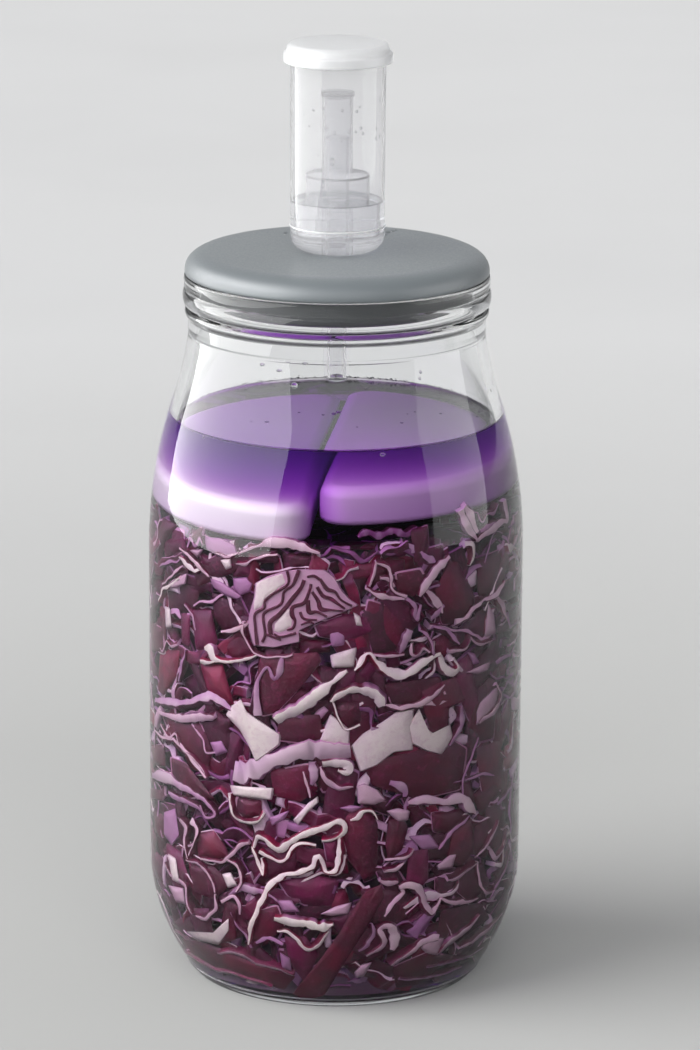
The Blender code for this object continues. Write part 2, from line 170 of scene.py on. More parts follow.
UPWARD = Vector((0, 0, 1))
BACKWARD = Vector((0, 1, 0))

# The turn that spreads pieces evenly round a circle
GOLDEN_TURN = math.pi * (3 - math.sqrt(5))
# Corners sharper than this get extra points this close beside them
CORNER_TURN = math.radians(8)
CORNER_SUPPORT = 0.0003


def lerp(start, end, part):
    return start + (end - start) * part


def spread(start, end, count):
    """Evenly spaced values from start to end, both included."""
    return [lerp(start, end, step / count) for step in range(count + 1)]


def outer_radius(height):
    """The outside of the jar's body, from the foot to the crease under the neck."""
    if height < HEEL_HEIGHT:
        left = 1 - height / HEEL_HEIGHT
        return BODY_RADIUS - (BODY_RADIUS - BASE_RADIUS) * left**2
    if height < SHOULDER_START:
        return BODY_RADIUS
    if height < SHOULDER_END:
        part = (height - SHOULDER_START) / (SHOULDER_END - SHOULDER_START)
        return BODY_RADIUS - SHOULDER_DROP * part**2
    slope = 2 * SHOULDER_DROP / (SHOULDER_END - SHOULDER_START)
    reach = CREASE_HEIGHT - SHOULDER_END
    fall = BODY_RADIUS - SHOULDER_DROP - CREASE_RADIUS
    run = height - SHOULDER_END
    return BODY_RADIUS - SHOULDER_DROP - slope * run + (slope * reach - fall) * (run / reach) ** 2


def inner_radius(height):
    """The inside of the jar's body, from the floor to the crease."""
    if height < HEEL_HEIGHT:
        left = 1 - (max(height, FLOOR_HEIGHT) - FLOOR_HEIGHT) / (HEEL_HEIGHT - FLOOR_HEIGHT)
        return BODY_RADIUS - WALL - (BODY_RADIUS - WALL - FLOOR_EDGE_RADIUS) * left**2
    return outer_radius(height) - WALL


# Materials


class Nodes:
    """A short way to write a material's node tree."""

    def __init__(self, name):
        self.material = bpy.data.materials.new(name)
        self.material.use_nodes = True
        self.tree = self.material.node_tree
        self.shader = self.tree.nodes["Principled BSDF"]
        self.output = self.tree.nodes["Material Output"]

    def add(self, kind, **settings):
        node = self.tree.nodes.new(kind)
        for key, value in settings.items():
            setattr(node, key, value)
        return node

    def link(self, start, end):
        self.tree.links.new(start, end)

    def set(self, **values):
        for key, value in values.items():
            socket = self.shader.inputs[key.replace("_", " ")]
            socket.default_value = (*value, 1.0) if isinstance(value, tuple) else value

    def noise(self, scale, detail=4.0, roughness=0.55, distortion=0.0, stretch=(1, 1, 1)):
        """Noise in the object's own space, as a value socket."""
        place = self.add("ShaderNodeTexCoord")
        mapping = self.add("ShaderNodeMapping")
        mapping.inputs["Scale"].default_value = stretch
        texture = self.add("ShaderNodeTexNoise")
        texture.inputs["Scale"].default_value = scale
        texture.inputs["Detail"].default_value = detail
        texture.inputs["Roughness"].default_value = roughness
        texture.inputs["Distortion"].default_value = distortion
        self.link(place.outputs["Object"], mapping.inputs["Vector"])
        self.link(mapping.outputs["Vector"], texture.inputs["Vector"])
        return texture.outputs["Fac"]

    def ramp(self, value, *stops):
        """A colour ramp over (position, colour) stops."""
        ramp = self.add("ShaderNodeValToRGB")
        elements = ramp.color_ramp.elements
        while len(elements) < len(stops):
            elements.new(0.5)
        for element, (position, colour) in zip(elements, stops):
            element.position = position
            element.color = (*colour, 1.0)
        self.link(value, ramp.inputs["Fac"])
        return ramp.outputs["Color"]

    def mix(self, part, first, second):
        """A mix of two colours, each a socket or a plain colour."""
        mix = self.add("ShaderNodeMix", data_type="RGBA")
        for key, value in (("Factor", part), ("A", first), ("B", second)):
            socket = mix.inputs[key]
            if isinstance(value, bpy.types.NodeSocket):
                self.link(value, socket)
            else:
                socket.default_value = (*value, 1.0) if isinstance(value, tuple) else value
        return mix.outputs["Result"]

    def span(self, value, low, high, out_low, out_high):
        """Value remapped from low..high to out_low..out_high."""
        remap = self.add("ShaderNodeMapRange")
        limits = {"From Min": low, "From Max": high, "To Min": out_low, "To Max": out_high}
        for key, number in limits.items():
            remap.inputs[key].default_value = number
        self.link(value, remap.inputs["Value"])
        return remap.outputs["Result"]

    def bump(self, height, strength, distance):
        bump = self.add("ShaderNodeBump")
        bump.inputs["Strength"].default_value = strength
        bump.inputs["Distance"].default_value = distance
        self.link(height, bump.inputs["Height"])
        self.link(bump.outputs["Normal"], self.shader.inputs["Normal"])

    def let_lamps_through(self, tint=(1.0, 1.0, 1.0)):
        """Clear stuff casts no dark shadow: lamps shine straight through it."""
        path = self.add("ShaderNodeLightPath")
        clear = self.add("ShaderNodeBsdfTransparent")
        clear.inputs["Color"].default_value = (*tint, 1.0)
        mix = self.add("ShaderNodeMixShader")
        self.link(path.outputs["Is Shadow Ray"], mix.inputs["Fac"])
        self.link(self.shader.outputs["BSDF"], mix.inputs[1])
        self.link(clear.outputs["BSDF"], mix.inputs[2])
        self.link(mix.outputs["Shader"], self.output.inputs["Surface"])


def glass_finish(name, gloss):
    """Pressed jar glass: clear, very slightly uneven. Gloss is less where brine touches it."""
    made = Nodes(name)
    made.set(Base_Color=(0.985, 0.993, 0.99), Roughness=0.0, IOR=1.5, Transmission_Weight=1.0)
    made.set(Specular_Tint=(gloss, gloss, gloss))
    made.bump(made.noise(38, 2.0, 0.4, 0.0, (1, 1, 0.5)), 0.05, 0.0012)
    made.let_lamps_through((0.97, 0.98, 0.98))
    return made.material


def brine_finish():
    """Violet brine: the colour comes from the depth that light passes through."""
    made = Nodes("violet_brine")
    made.set(Base_Color=(1.0, 1.0, 1.0), Roughness=0.0, IOR=1.34, Transmission_Weight=1.0)
    made.set(Specular_Tint=(0.0, 0.0, 0.0))
    made.bump(made.noise(60, 2.0, 0.4), 0.04, 0.0006)
    depth = made.add("ShaderNodeVolumeAbsorption")
    depth.inputs["Color"].default_value = (0.54, 0.0, 0.74, 1.0)
    depth.inputs["Density"].default_value = 62.0
    made.link(depth.outputs["Volume"], made.output.inputs["Volume"])
    made.let_lamps_through()
    return made.material


def brine_sheen_finish():
    """The shine on top of the brine, which the brine itself has not."""
    made = Nodes("brine_sheen")
    made.set(Base_Color=(1.0, 1.0, 1.0), Roughness=0.0, IOR=1.34, Transmission_Weight=1.0)
    made.set(Specular_Tint=(0.97, 0.94, 1.0))
    made.bump(made.noise(40, 2.0, 0.4), 0.05, 0.0006)
    made.let_lamps_through()
    return made.material


def water_finish():
    made = Nodes("clear_water")
    made.set(Base_Color=(0.99, 0.995, 1.0), Roughness=0.0, IOR=1.33, Transmission_Weight=1.0)
    made.bump(made.noise(90, 1.0), 0.05, 0.0004)
    made.let_lamps_through()
    return made.material


def clear_plastic_finish():
    """Moulded polystyrene, clear with faint flow marks."""
    made = Nodes("clear_plastic")
    made.set(Base_Color=(0.985, 0.985, 0.99), Roughness=0.06, IOR=1.33, Transmission_Weight=0.90)
    made.set(Specular_Tint=(0.5, 0.5, 0.5))
    made.bump(made.noise(60, 3.0, 0.5, 0.3, (1, 1, 0.25)), 0.12, 0.0008)
    made.let_lamps_through((0.95, 0.95, 0.96))
    return made.material


def thin_plastic_finish():
    """The float's thin, faintly cloudy plastic."""
    made = Nodes("thin_plastic")
    made.set(Base_Color=(0.97, 0.97, 0.98), Roughness=0.10, IOR=1.16, Transmission_Weight=0.86)
    made.bump(made.noise(80, 3.0), 0.10, 0.0006)
    made.let_lamps_through((0.92, 0.92, 0.93))
    return made.material


def stem_plastic_finish():
    """The stem under the lid: thin clear plastic, hard to see through the glass."""
    made = Nodes("stem_plastic")
    made.set(Base_Color=(0.99, 0.98, 1.0), Roughness=0.02, IOR=1.06, Transmission_Weight=1.0)
    made.bump(made.noise(120, 2.0), 0.05, 0.0003)
    made.let_lamps_through()
    return made.material


def milky_plastic_finish():
    made = Nodes("milky_plastic")
    grain = made.noise(240, 3.0)
    made.link(made.mix(grain, (0.86, 0.865, 0.87), (0.93, 0.935, 0.94)), made.shader.inputs["Base Color"])
    made.set(Roughness=0.45, IOR=1.47, Transmission_Weight=0.6)
    made.bump(grain, 0.08, 0.0004)
    made.let_lamps_through((0.6, 0.6, 0.6))
    return made.material


def silicone_finish(name, low, high):
    """Satin grey silicone with a fine moulded grain. The darker copy, where the neck shuts the plug in, is
    painted shade.
    """
    made = Nodes(name)
    cloud = made.noise(26, 4.0)
    grain = made.noise(1500, 2.0)
    colour = made.mix(cloud, low, high)
    made.link(colour, made.shader.inputs["Base Color"])
    made.link(made.span(grain, 0.3, 0.7, 0.36, 0.50), made.shader.inputs["Roughness"])
    made.set(Sheen_Weight=0.15, Sheen_Roughness=0.5)
    made.bump(grain, 0.10, 0.0003)
    return made.material


def stoneware_finish():
    """White glazed stoneware, with faint pinholes."""
    made = Nodes("white_stoneware")
    cloud = made.noise(45, 4.0)
    made.link(made.mix(cloud, (0.93, 0.92, 0.89), (0.97, 0.96, 0.94)), made.shader.inputs["Base Color"])
    made.set(Roughness=0.35, Specular_IOR_Level=0.2)
    made.bump(made.noise(320, 3.0), 0.06, 0.0005)
    return made.material


def leaf_tint(made):
    """The shred's own shade, and how white it is there because of a rib."""
    mark = made.add("ShaderNodeAttribute", attribute_name="shred")
    parts = made.add("ShaderNodeSeparateColor")
    made.link(mark.outputs["Color"], parts.inputs["Color"])
    return parts.outputs["Red"], parts.outputs["Green"], parts.outputs["Blue"]


def leaf_skin_finish():
    """The outer and inner face of a leaf: waxy burgundy to violet, paler over a rib."""
    made = Nodes("leaf_skin")
    shade, warmth, rib = leaf_tint(made)
    cool = made.ramp(
        shade, (0.0, (0.020, 0.001, 0.007)), (0.5, (0.098, 0.000, 0.032)), (1.0, (0.245, 0.005, 0.094))
    )
    warm = made.ramp(
        shade, (0.0, (0.020, 0.001, 0.003)), (0.5, (0.108, 0.000, 0.017)), (1.0, (0.270, 0.006, 0.045))
    )
    base = made.mix(warmth, cool, warm)
    veins = made.noise(420, 5.0, 0.6, 1.2)
    cloud = made.noise(110, 3.0, 0.5, 0.6)
    broad = made.noise(34, 2.0, 0.5, 0.8)
    faded = made.mix(made.span(broad, 0.42, 0.62, 0.0, 0.7), base, (0.026, 0.004, 0.010))
    shaded = made.mix(made.span(cloud, 0.40, 0.62, 0.0, 0.6), faded, (0.050, 0.003, 0.016))
    mottled = made.mix(made.span(veins, 0.54, 0.80, 0.0, 0.35), shaded, (0.42, 0.05, 0.18))
    colour = made.mix(made.span(rib, 0.3, 1.0, 0.0, 0.8), mottled, (0.56, 0.28, 0.44))
    made.link(colour, made.shader.inputs["Base Color"])
    made.set(Roughness=0.42, Specular_IOR_Level=0.15)
    made.bump(veins, 0.3, 0.0008)
    return made.material


def leaf_flesh_finish():
    """The cut edge of a leaf: moist white, stained pink and lavender by the brine."""
    made = Nodes("leaf_flesh")
    shade, warmth, rib = leaf_tint(made)
    lavender = made.ramp(
        shade, (0.0, (0.15, 0.02, 0.11)), (0.5, (0.48, 0.25, 0.41)), (1.0, (0.74, 0.53, 0.59))
    )
    cream = made.ramp(
        shade, (0.0, (0.44, 0.18, 0.26)), (0.6, (0.70, 0.44, 0.50)), (1.0, (0.95, 0.89, 0.79))
    )
    base = made.mix(warmth, lavender, cream)
    fibre = made.noise(520, 4.0, 0.6, 0.4)
    cloud = made.noise(150, 3.0)
    stained = made.mix(made.span(fibre, 0.50, 0.80, 0.0, 0.30), base, (0.42, 0.12, 0.24))
    shaded = made.mix(made.span(cloud, 0.45, 0.75, 0.0, 0.28), stained, (0.52, 0.26, 0.42))
    whitened = made.mix(made.span(rib, 0.0, 1.0, 0.0, 0.4), shaded, (0.90, 0.82, 0.76))
    made.link(whitened, made.shader.inputs["Base Color"])
    made.set(Roughness=0.45, Specular_IOR_Level=0.15)
    made.bump(fibre, 0.2, 0.0005)
    return made.material


def shaded_heap_inside_finish():
    """The inside of the heap, which only shows in the gaps. Its near-black colour is painted shade, much
    darker than the cabbage itself.
    """
    made = Nodes("shaded_heap_inside")
    cloud = made.noise(120, 4.0)
    made.link(made.mix(cloud, (0.010, 0.002, 0.006), (0.050, 0.006, 0.028)), made.shader.inputs["Base Color"])
    made.set(Roughness=0.5)
    return made.material


def drop_finish():
    made = Nodes("water_drop")
    made.set(Base_Color=(0.99, 0.99, 1.0), Roughness=0.0, IOR=1.33, Transmission_Weight=1.0)
    made.bump(made.noise(400, 1.0), 0.02, 0.0002)
    made.let_lamps_through()
    return made.material


def floor_finish():
    """Pale stone, darker near the jar and a little lighter far away: the darkening near the jar is painted
    shade.
    """
    made = Nodes("pale_floor")
    place = made.add("ShaderNodeTexCoord")
    reach = made.add("ShaderNodeVectorMath", operation="LENGTH")
    made.link(place.outputs["Object"], reach.inputs[0])
    # Painted shade: the stone's colour darkens towards the jar
    far = made.span(reach.outputs["Value"], 0.3, 1.1, 0.0, 1.0)
    pale = made.mix(far, (0.44, 0.44, 0.432), (0.54, 0.54, 0.54))
    cloud = made.noise(2.2, 3.0)
    veined = made.mix(made.span(cloud, 0.45, 0.75, 0.0, 0.12), pale, (0.36, 0.36, 0.36))
    made.link(veined, made.shader.inputs["Base Color"])
    made.set(Roughness=0.8, Specular_IOR_Level=0.0)
    return made.material


FINISH = {
    "glass": glass_finish("jar_glass", 0.4),
    "wet_glass": glass_finish("jar_glass_under_brine", 0.0),
    "brine": brine_finish(),
    "sheen": brine_sheen_finish(),
    "water": water_finish(),
    "plastic": clear_plastic_finish(),
    "thin_plastic": thin_plastic_finish(),
    "stem_plastic": stem_plastic_finish(),
    "milky": milky_plastic_finish(),
    "silicone": silicone_finish("grey_silicone", (0.108, 0.124, 0.133), (0.134, 0.152, 0.161)),
    # The darker silicone is painted shade on the plug, where the neck shuts it in
    "shaded_silicone": silicone_finish("shaded_silicone", (0.040, 0.044, 0.048), (0.056, 0.061, 0.066)),
    "stoneware": stoneware_finish(),
    "skin": leaf_skin_finish(),
    "flesh": leaf_flesh_finish(),
    # The near-black inside of the heap is painted shade
    "inside": shaded_heap_inside_finish(),
    "drop": drop_finish(),
    "floor": floor_finish(),
}


# Building pieces


def add_piece(name, mesh, finishes, replaces=()):
    """Puts a mesh in the scene as a piece of the jar."""
    made = bpy.data.objects.new(name, mesh)
    for finish in finishes:
        mesh.materials.append(FINISH[finish])
    bpy.context.scene.collection.objects.link(made)
    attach(made, "root")
    if replaces:
        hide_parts(*replaces)
    return made


def supported(profile, loop):
    """The profile with extra points beside its corners, so that long stretches are shaded flat."""
    count = len(profile)
    made = []
    for index, point in enumerate(profile):
        if not loop and index in (0, count - 1):
            made.append(point)
            continue
        here = Vector(point)
        back = Vector(profile[index - 1]) - here
        ahead = Vector(profile[(index + 1) % count]) - here
        turn = math.pi - back.angle(ahead, math.pi)
        if turn > CORNER_TURN and back.length > 3 * CORNER_SUPPORT:
            made.append(tuple(here + back.normalized() * CORNER_SUPPORT))
        made.append(point)
        if turn > CORNER_TURN and ahead.length > 3 * CORNER_SUPPORT:
            made.append(tuple(here + ahead.normalized() * CORNER_SUPPORT))
    return made


def lathe_mesh(name, profile, steps, loop=False):
    """Turns (radius, height) points about Z. An open profile starts and ends on the axis."""
    shape = bmesh.new()
    rings = []
    for radius, height in supported(profile, loop):
        if radius < 1e-7:
            rings.append([shape.verts.new((0, 0, height))])
            continue
        ring = []
        for step in range(steps):
            turn = 2 * math.pi * step / steps
            ring.append(shape.verts.new((radius * math.cos(turn), radius * math.sin(turn), height)))
        rings.append(ring)
    pairs = list(zip(rings, rings[1:] + rings[:1])) if loop else list(zip(rings, rings[1:]))
    for upper, lower in pairs:
        for step in range(steps):
            after = (step + 1) % steps
            corners = [upper[step % len(upper)], lower[step % len(lower)]]
            corners += [lower[after % len(lower)], upper[after % len(upper)]]
            distinct = list(dict.fromkeys(corners))
            shape.faces.new(distinct)
    bmesh.ops.recalc_face_normals(shape, faces=shape.faces)
    mesh = bpy.data.meshes.new(name)
    shape.to_mesh(mesh)
    shape.free()
    mesh.shade_smooth()
    return mesh


def rounded(points, radius, count=4):
    """The same outline with each inner corner cut to an arc of up to this radius."""
    made = [points[0]]
    for before, corner, after in zip(points, points[1:], points[2:]):
        start = Vector(before) - Vector(corner)
        end = Vector(after) - Vector(corner)
        reach = min(radius, 0.45 * start.length, 0.45 * end.length)
        first = Vector(corner) + start.normalized() * reach
        last = Vector(corner) + end.normalized() * reach
        for step in range(count + 1):
            part = step / count
            bent = first.lerp(Vector(corner), part).lerp(Vector(corner).lerp(last, part), part)
            made.append((bent.x, bent.y))
    made.append(points[-1])
    return made


def along_wall(radius_at, start, end, count, reach=0.0):
    """Points of a turned wall between two heights, this far outside it."""
    return [(radius_at(height) + reach, height) for height in spread(start, end, count)]


def quarter(start, end, count, power=2.0):
    """Points after start on a round edge that leaves start level and meets end upright."""
    points = []
    for step in range(1, count + 1):
        angle = 0.5 * math.pi * step / count
        across = math.sin(angle) ** (2 / power)
        down = 1 - math.cos(angle) ** (2 / power)
        points.append((lerp(start[0], end[0], across), lerp(start[1], end[1], down)))
    return points


def foot_round(radius, seat, size, count=8):
    """Points down a rounded foot, from its upright wall to its level underside."""
    points = []
    for step in range(count + 1):
        angle = 0.5 * math.pi * step / count
        points.append((radius - size * (1 - math.cos(angle)), seat + size * (1 - math.sin(angle))))
    return points


def band(top, bottom, edge, belly, count=8):
    """A rounded ring of glass round the neck, from top to bottom."""
    points = []
    for height in spread(top, bottom, count):
        part = (height - top) / (bottom - top)
        points.append((edge + belly * math.sin(math.pi * part) ** 0.6, height))
    return points


def glass_jar():
    inside = [(0.0, FLOOR_HEIGHT + FLOOR_CROWN), (0.5 * FLOOR_RADIUS, FLOOR_HEIGHT + 0.7 * FLOOR_CROWN)]
    inside += [(FLOOR_RADIUS, FLOOR_HEIGHT - FLOOR_DIP)]
    inside += along_wall(inner_radius, FLOOR_HEIGHT, HEEL_HEIGHT, 16)
    inside += along_wall(inner_radius, 0.07, SHOULDER_START, 4)
    inside += along_wall(inner_radius, SHOULDER_START + 0.004, CREASE_HEIGHT, 20)
    inside += [(NECK_INNER_RADIUS, CREASE_HEIGHT + 0.004), (NECK_INNER_RADIUS, RIM_HEIGHT - 0.0012)]
    rim = [(NECK_INNER_RADIUS, RIM_HEIGHT - 0.002), (NECK_INNER_RADIUS, RIM_HEIGHT), (RIM_RADIUS, RIM_HEIGHT)]
    rim += [(RIM_RADIUS, RIM_HEIGHT - 0.0044), (RIM_RADIUS - 0.0006, RIM_HEIGHT - 0.0048)]
    groove = [(0.0556, RIM_HEIGHT - 0.0112), (0.0545, RIM_HEIGHT - 0.0116), (0.0553, RIM_HEIGHT - 0.0121)]
    neck = rounded(rim, 0.0013)
    neck += band(UPPER_BAND_TOP, UPPER_BAND_BOTTOM, UPPER_BAND_RADIUS, BAND_BELLY)
    neck += rounded(groove, 0.0003)
    neck += band(LOWER_BAND_TOP, LOWER_BAND_BOTTOM, LOWER_BAND_RADIUS, BAND_BELLY, 6)
    neck += [(NECK_RADIUS, RIM_HEIGHT - 0.0160), (NECK_RADIUS, CREASE_HEIGHT + 0.0010)]
    neck += [(NECK_RADIUS - 0.0004, CREASE_HEIGHT + 0.0004)]
    outside = along_wall(outer_radius, CREASE_HEIGHT - 0.0004, SHOULDER_START, 26)
    outside += along_wall(outer_radius, 0.14, HEEL_HEIGHT, 4)
    outside += along_wall(outer_radius, HEEL_HEIGHT - 0.002, 0.0044, 16)
    outside += band(0.0040, 0.0026, outer_radius(0.0033) - 0.0004, 0.0005, 6)
    foot = [(outer_radius(0.0022) - 0.0003, 0.0022), (FOOT_OUTER_RADIUS + 0.0014, 0.0)]
    foot += [(FOOT_INNER_RADIUS, 0.0)]
    foot += [(FOOT_INNER_RADIUS - 0.003, 0.6 * PUNT_HEIGHT), (0.5 * FOOT_INNER_RADIUS, 0.9 * PUNT_HEIGHT)]
    foot += [(0.0, PUNT_HEIGHT)]
    profile = inside + neck + outside + rounded(foot, 0.0012)
    mesh = lathe_mesh("glass_jar_body", profile, JAR_SIDES)
    for face in mesh.polygons:
        height = face.center.z
        wetted = PUNT_HEIGHT + 0.0015 < height < BRINE_LEVEL + 0.001
        face.material_index = 1 if wetted and face.center.xy.length < inner_radius(height) + 0.0005 else 0
    return add_piece("glass_jar_body", mesh, ["glass", "wet_glass"], ("glass_jar",))


def brine():
    """Reaches a little into the glass, so no air shows between them, with a meniscus at the top."""
    reach = BRINE_INTO_GLASS
    profile = [(0.0, FLOOR_HEIGHT + FLOOR_CROWN - reach), (FLOOR_RADIUS, FLOOR_HEIGHT - FLOOR_DIP - reach)]
    profile += along_wall(inner_radius, FLOOR_HEIGHT + 0.0002, HEEL_HEIGHT, 16, reach)
    profile += along_wall(inner_radius, 0.07, SHOULDER_START, 4, reach)
    profile += along_wall(inner_radius, SHOULDER_START + 0.004, BRINE_LEVEL + MENISCUS_RISE, 14, reach)
    edge = inner_radius(BRINE_LEVEL)
    for part in (0.10, 0.25, 0.45, 0.7, 1.0):
        profile.append((edge - MENISCUS_WIDTH * part, BRINE_LEVEL + MENISCUS_RISE * (1 - part) ** 2.5))
    profile += [(0.5 * edge, BRINE_LEVEL), (0.0, BRINE_LEVEL)]
    mesh = lathe_mesh("brine", profile, BRINE_SIDES)
    return add_piece("brine", mesh, ["brine"])


def brine_sheen():
    """A film that lies in the top of the brine."""
    edge = inner_radius(BRINE_LEVEL) - 0.0012
    top = BRINE_LEVEL + SHEEN_LIFT
    profile = [(0.0, top), (edge - 0.002, top), (edge - 0.0008, top + 0.00008), (edge, top + 0.00025)]
    profile += [(edge, BRINE_LEVEL - SHEEN_LIFT), (0.0, BRINE_LEVEL - SHEEN_LIFT)]
    mesh = lathe_mesh("brine_sheen", profile, BRINE_SIDES)
    return add_piece("brine_sheen", mesh, ["sheen"])


def lid():
    seat = RIM_HEIGHT + CLEARANCE
    edge_start = (LID_RADIUS - 0.010, LID_TOP)
    points = [(LID_HOLE_RADIUS, LID_TOP - 0.0005), (LID_HOLE_RADIUS + 0.0006, LID_TOP)]
    points += [(0.020, LID_TOP), (0.035, LID_TOP), edge_start]
    points += quarter(edge_start, (LID_RADIUS, seat + 0.0007), 18, 2.3)
    points += [(LID_RADIUS - 0.0002, seat + 0.0002), (LID_RADIUS - 0.0007, seat)]
    points += [(PLUG_RADIUS + 0.0008, seat), (PLUG_RADIUS, seat - 0.0008)]
    points += [(PLUG_RADIUS, PLUG_BOTTOM + 0.0015)]
    points += [(PLUG_RADIUS - 0.0004, PLUG_BOTTOM + 0.0005), (PLUG_RADIUS - 0.0015, PLUG_BOTTOM)]
    points += [(LID_HOLE_RADIUS, PLUG_BOTTOM)]
    mesh = lathe_mesh("silicone_lid", points, LID_SIDES, loop=True)
    # The plug's faces, below the rim inside the neck, get the darker silicone as painted shade
    for face in mesh.polygons:
        face.material_index = 1 if face.center.z < RIM_HEIGHT else 0
    return add_piece("silicone_lid", mesh, ["silicone", "shaded_silicone"], ("lid",))


def airlock_cup():
    points = [(CUP_RADIUS - 0.0002, CUP_TOP), (CUP_RADIUS, CUP_TOP - 0.0003)]
    points += foot_round(CUP_RADIUS - 0.0002, CUP_SEAT, CUP_ROUND, 10)
    points += [(STEM_RADIUS + 0.0005, CUP_SEAT), (STEM_RADIUS, CUP_SEAT - 0.0006), (STEM_RADIUS, PLUG_BOTTOM)]
    points += [(STEM_TIP_RADIUS, STEM_TIP + 0.0003), (STEM_TIP_RADIUS - 0.0003, STEM_TIP)]
    points += [(BORE_RADIUS, STEM_TIP), (BORE_RADIUS, TUBE_TOP), (TUBE_RADIUS, TUBE_TOP)]
    points += [(TUBE_RADIUS, CUP_FLOOR + 0.0008), (TUBE_RADIUS + 0.0008, CUP_FLOOR)]
    points += reversed(foot_round(CUP_RADIUS - CUP_WALL, CUP_FLOOR, CUP_ROUND - CUP_WALL, 10))
    points += [(CUP_RADIUS - CUP_WALL, CUP_TOP)]
    mesh = lathe_mesh("airlock_cup", points, AIRLOCK_SIDES, loop=True)
    for face in mesh.polygons:
        face.material_index = 1 if face.center.z < PLUG_BOTTOM else 0
    return add_piece("airlock_cup", mesh, ["plastic", "stem_plastic"], ("airlock_body",))


def cup_ring():
    """The fine pale line where the cup's wall meets its foot."""
    half = 0.5 * RING_HEIGHT
    points = [(CUP_RADIUS - 0.0003, RING_LEVEL + half), (CUP_RADIUS + 0.00005, RING_LEVEL + half)]
    points += [(CUP_RADIUS + 0.00025, RING_LEVEL), (CUP_RADIUS + 0.00005, RING_LEVEL - half)]
    points += [(CUP_RADIUS - 0.0003, RING_LEVEL - half)]
    mesh = lathe_mesh("cup_ring", points, AIRLOCK_SIDES, loop=True)
    return add_piece("cup_ring", mesh, ["milky"])


def airlock_bell():
    skirt_inside = FLOAT_SKIRT_RADIUS - FLOAT_WALL
    tube_inside = FLOAT_TUBE_RADIUS - FLOAT_WALL
    outside = [(0.0, FLOAT_TOP), (FLOAT_DISC_RADIUS, FLOAT_TOP), (FLOAT_DISC_RADIUS, FLOAT_TOP - 0.0016)]
    outside += [(FLOAT_TUBE_RADIUS, FLOAT_TOP - 0.0020), (FLOAT_TUBE_RADIUS, FLOAT_SHOULDER + 0.0008)]
    outside += [(FLOAT_SKIRT_RADIUS, FLOAT_SHOULDER), (FLOAT_SKIRT_RADIUS, FLOAT_BOTTOM)]
    inside = [(skirt_inside, FLOAT_BOTTOM), (skirt_inside, FLOAT_SHOULDER - 0.0010)]
    inside += [(tube_inside, FLOAT_SHOULDER), (tube_inside, FLOAT_TOP - 0.0014), (0.0, FLOAT_TOP - 0.0014)]
    mesh = lathe_mesh("airlock_bell", rounded(outside + inside, 0.0005, 3), FLOAT_SIDES)
    return add_piece("airlock_bell", mesh, ["thin_plastic"], ("airlock_float",))


def airlock_pool():
    """The water, which wets the cup and the tube: it reaches just into their plastic."""
    outer = CUP_RADIUS - CUP_WALL + 0.0002
    bottom = CUP_FLOOR - 0.0002
    points = [(outer, WATER_LEVEL + 0.0008)]
    points += foot_round(outer, bottom, CUP_ROUND - CUP_WALL, 10)
    points += [(TUBE_RADIUS - 0.0002, bottom), (TUBE_RADIUS - 0.0002, WATER_LEVEL + 0.0006)]
    points += [(TUBE_RADIUS + 0.0008, WATER_LEVEL), (outer - 0.0018, WATER_LEVEL)]
    points += [(outer - 0.0006, WATER_LEVEL + 0.0002)]
    mesh = lathe_mesh("airlock_pool", points, AIRLOCK_SIDES, loop=True)
    return add_piece("airlock_pool", mesh, ["water"], ("airlock_water",))


def airlock_cap():
    inside = CUP_RADIUS + CLEARANCE
    underside = TOTAL_HEIGHT - CAP_WALL
    points = [(0.0, TOTAL_HEIGHT), (CAP_DISC_RADIUS, TOTAL_HEIGHT)]
    points += [(CAP_DISC_RADIUS + 0.0011, TOTAL_HEIGHT - 0.0012)]
    points += [(CAP_DISC_RADIUS + 0.0015, TOTAL_HEIGHT - 0.0030), (CAP_SKIRT_RADIUS, TOTAL_HEIGHT - 0.0036)]
    points += [(CAP_SKIRT_RADIUS, CAP_BOTTOM), (inside, CAP_BOTTOM), (inside, underside), (0.0, underside)]
    mesh = lathe_mesh("airlock_lid", rounded(points, 0.0006, 4), AIRLOCK_SIDES)
    return add_piece("airlock_lid", mesh, ["milky"], ("airlock_cap",))


def half_disc(inset):
    """The outline of half a disc with round corners, this far in from the full size."""
    radius = WEIGHT_RADIUS - inset
    flat = WEIGHT_SETBACK + inset
    corner = WEIGHT_CORNER - inset
    middle = Vector((flat + corner, math.sqrt((radius - corner) ** 2 - (flat + corner) ** 2)))
    open_turn = math.atan2(middle.y, middle.x)
    points = []
    for turn in spread(-open_turn, open_turn, 64):
        points.append((radius * math.cos(turn), radius * math.sin(turn)))
    for turn in spread(open_turn, math.pi, 12)[1:]:
        points.append((middle.x + corner * math.cos(turn), middle.y + corner * math.sin(turn)))
    for along in spread(middle.y, -middle.y, 24)[1:]:
        points.append((flat, along))
    for turn in spread(-math.pi, -open_turn, 12)[1:-1]:
        points.append((middle.x + corner * math.cos(turn), -middle.y + corner * math.sin(turn)))
    return points


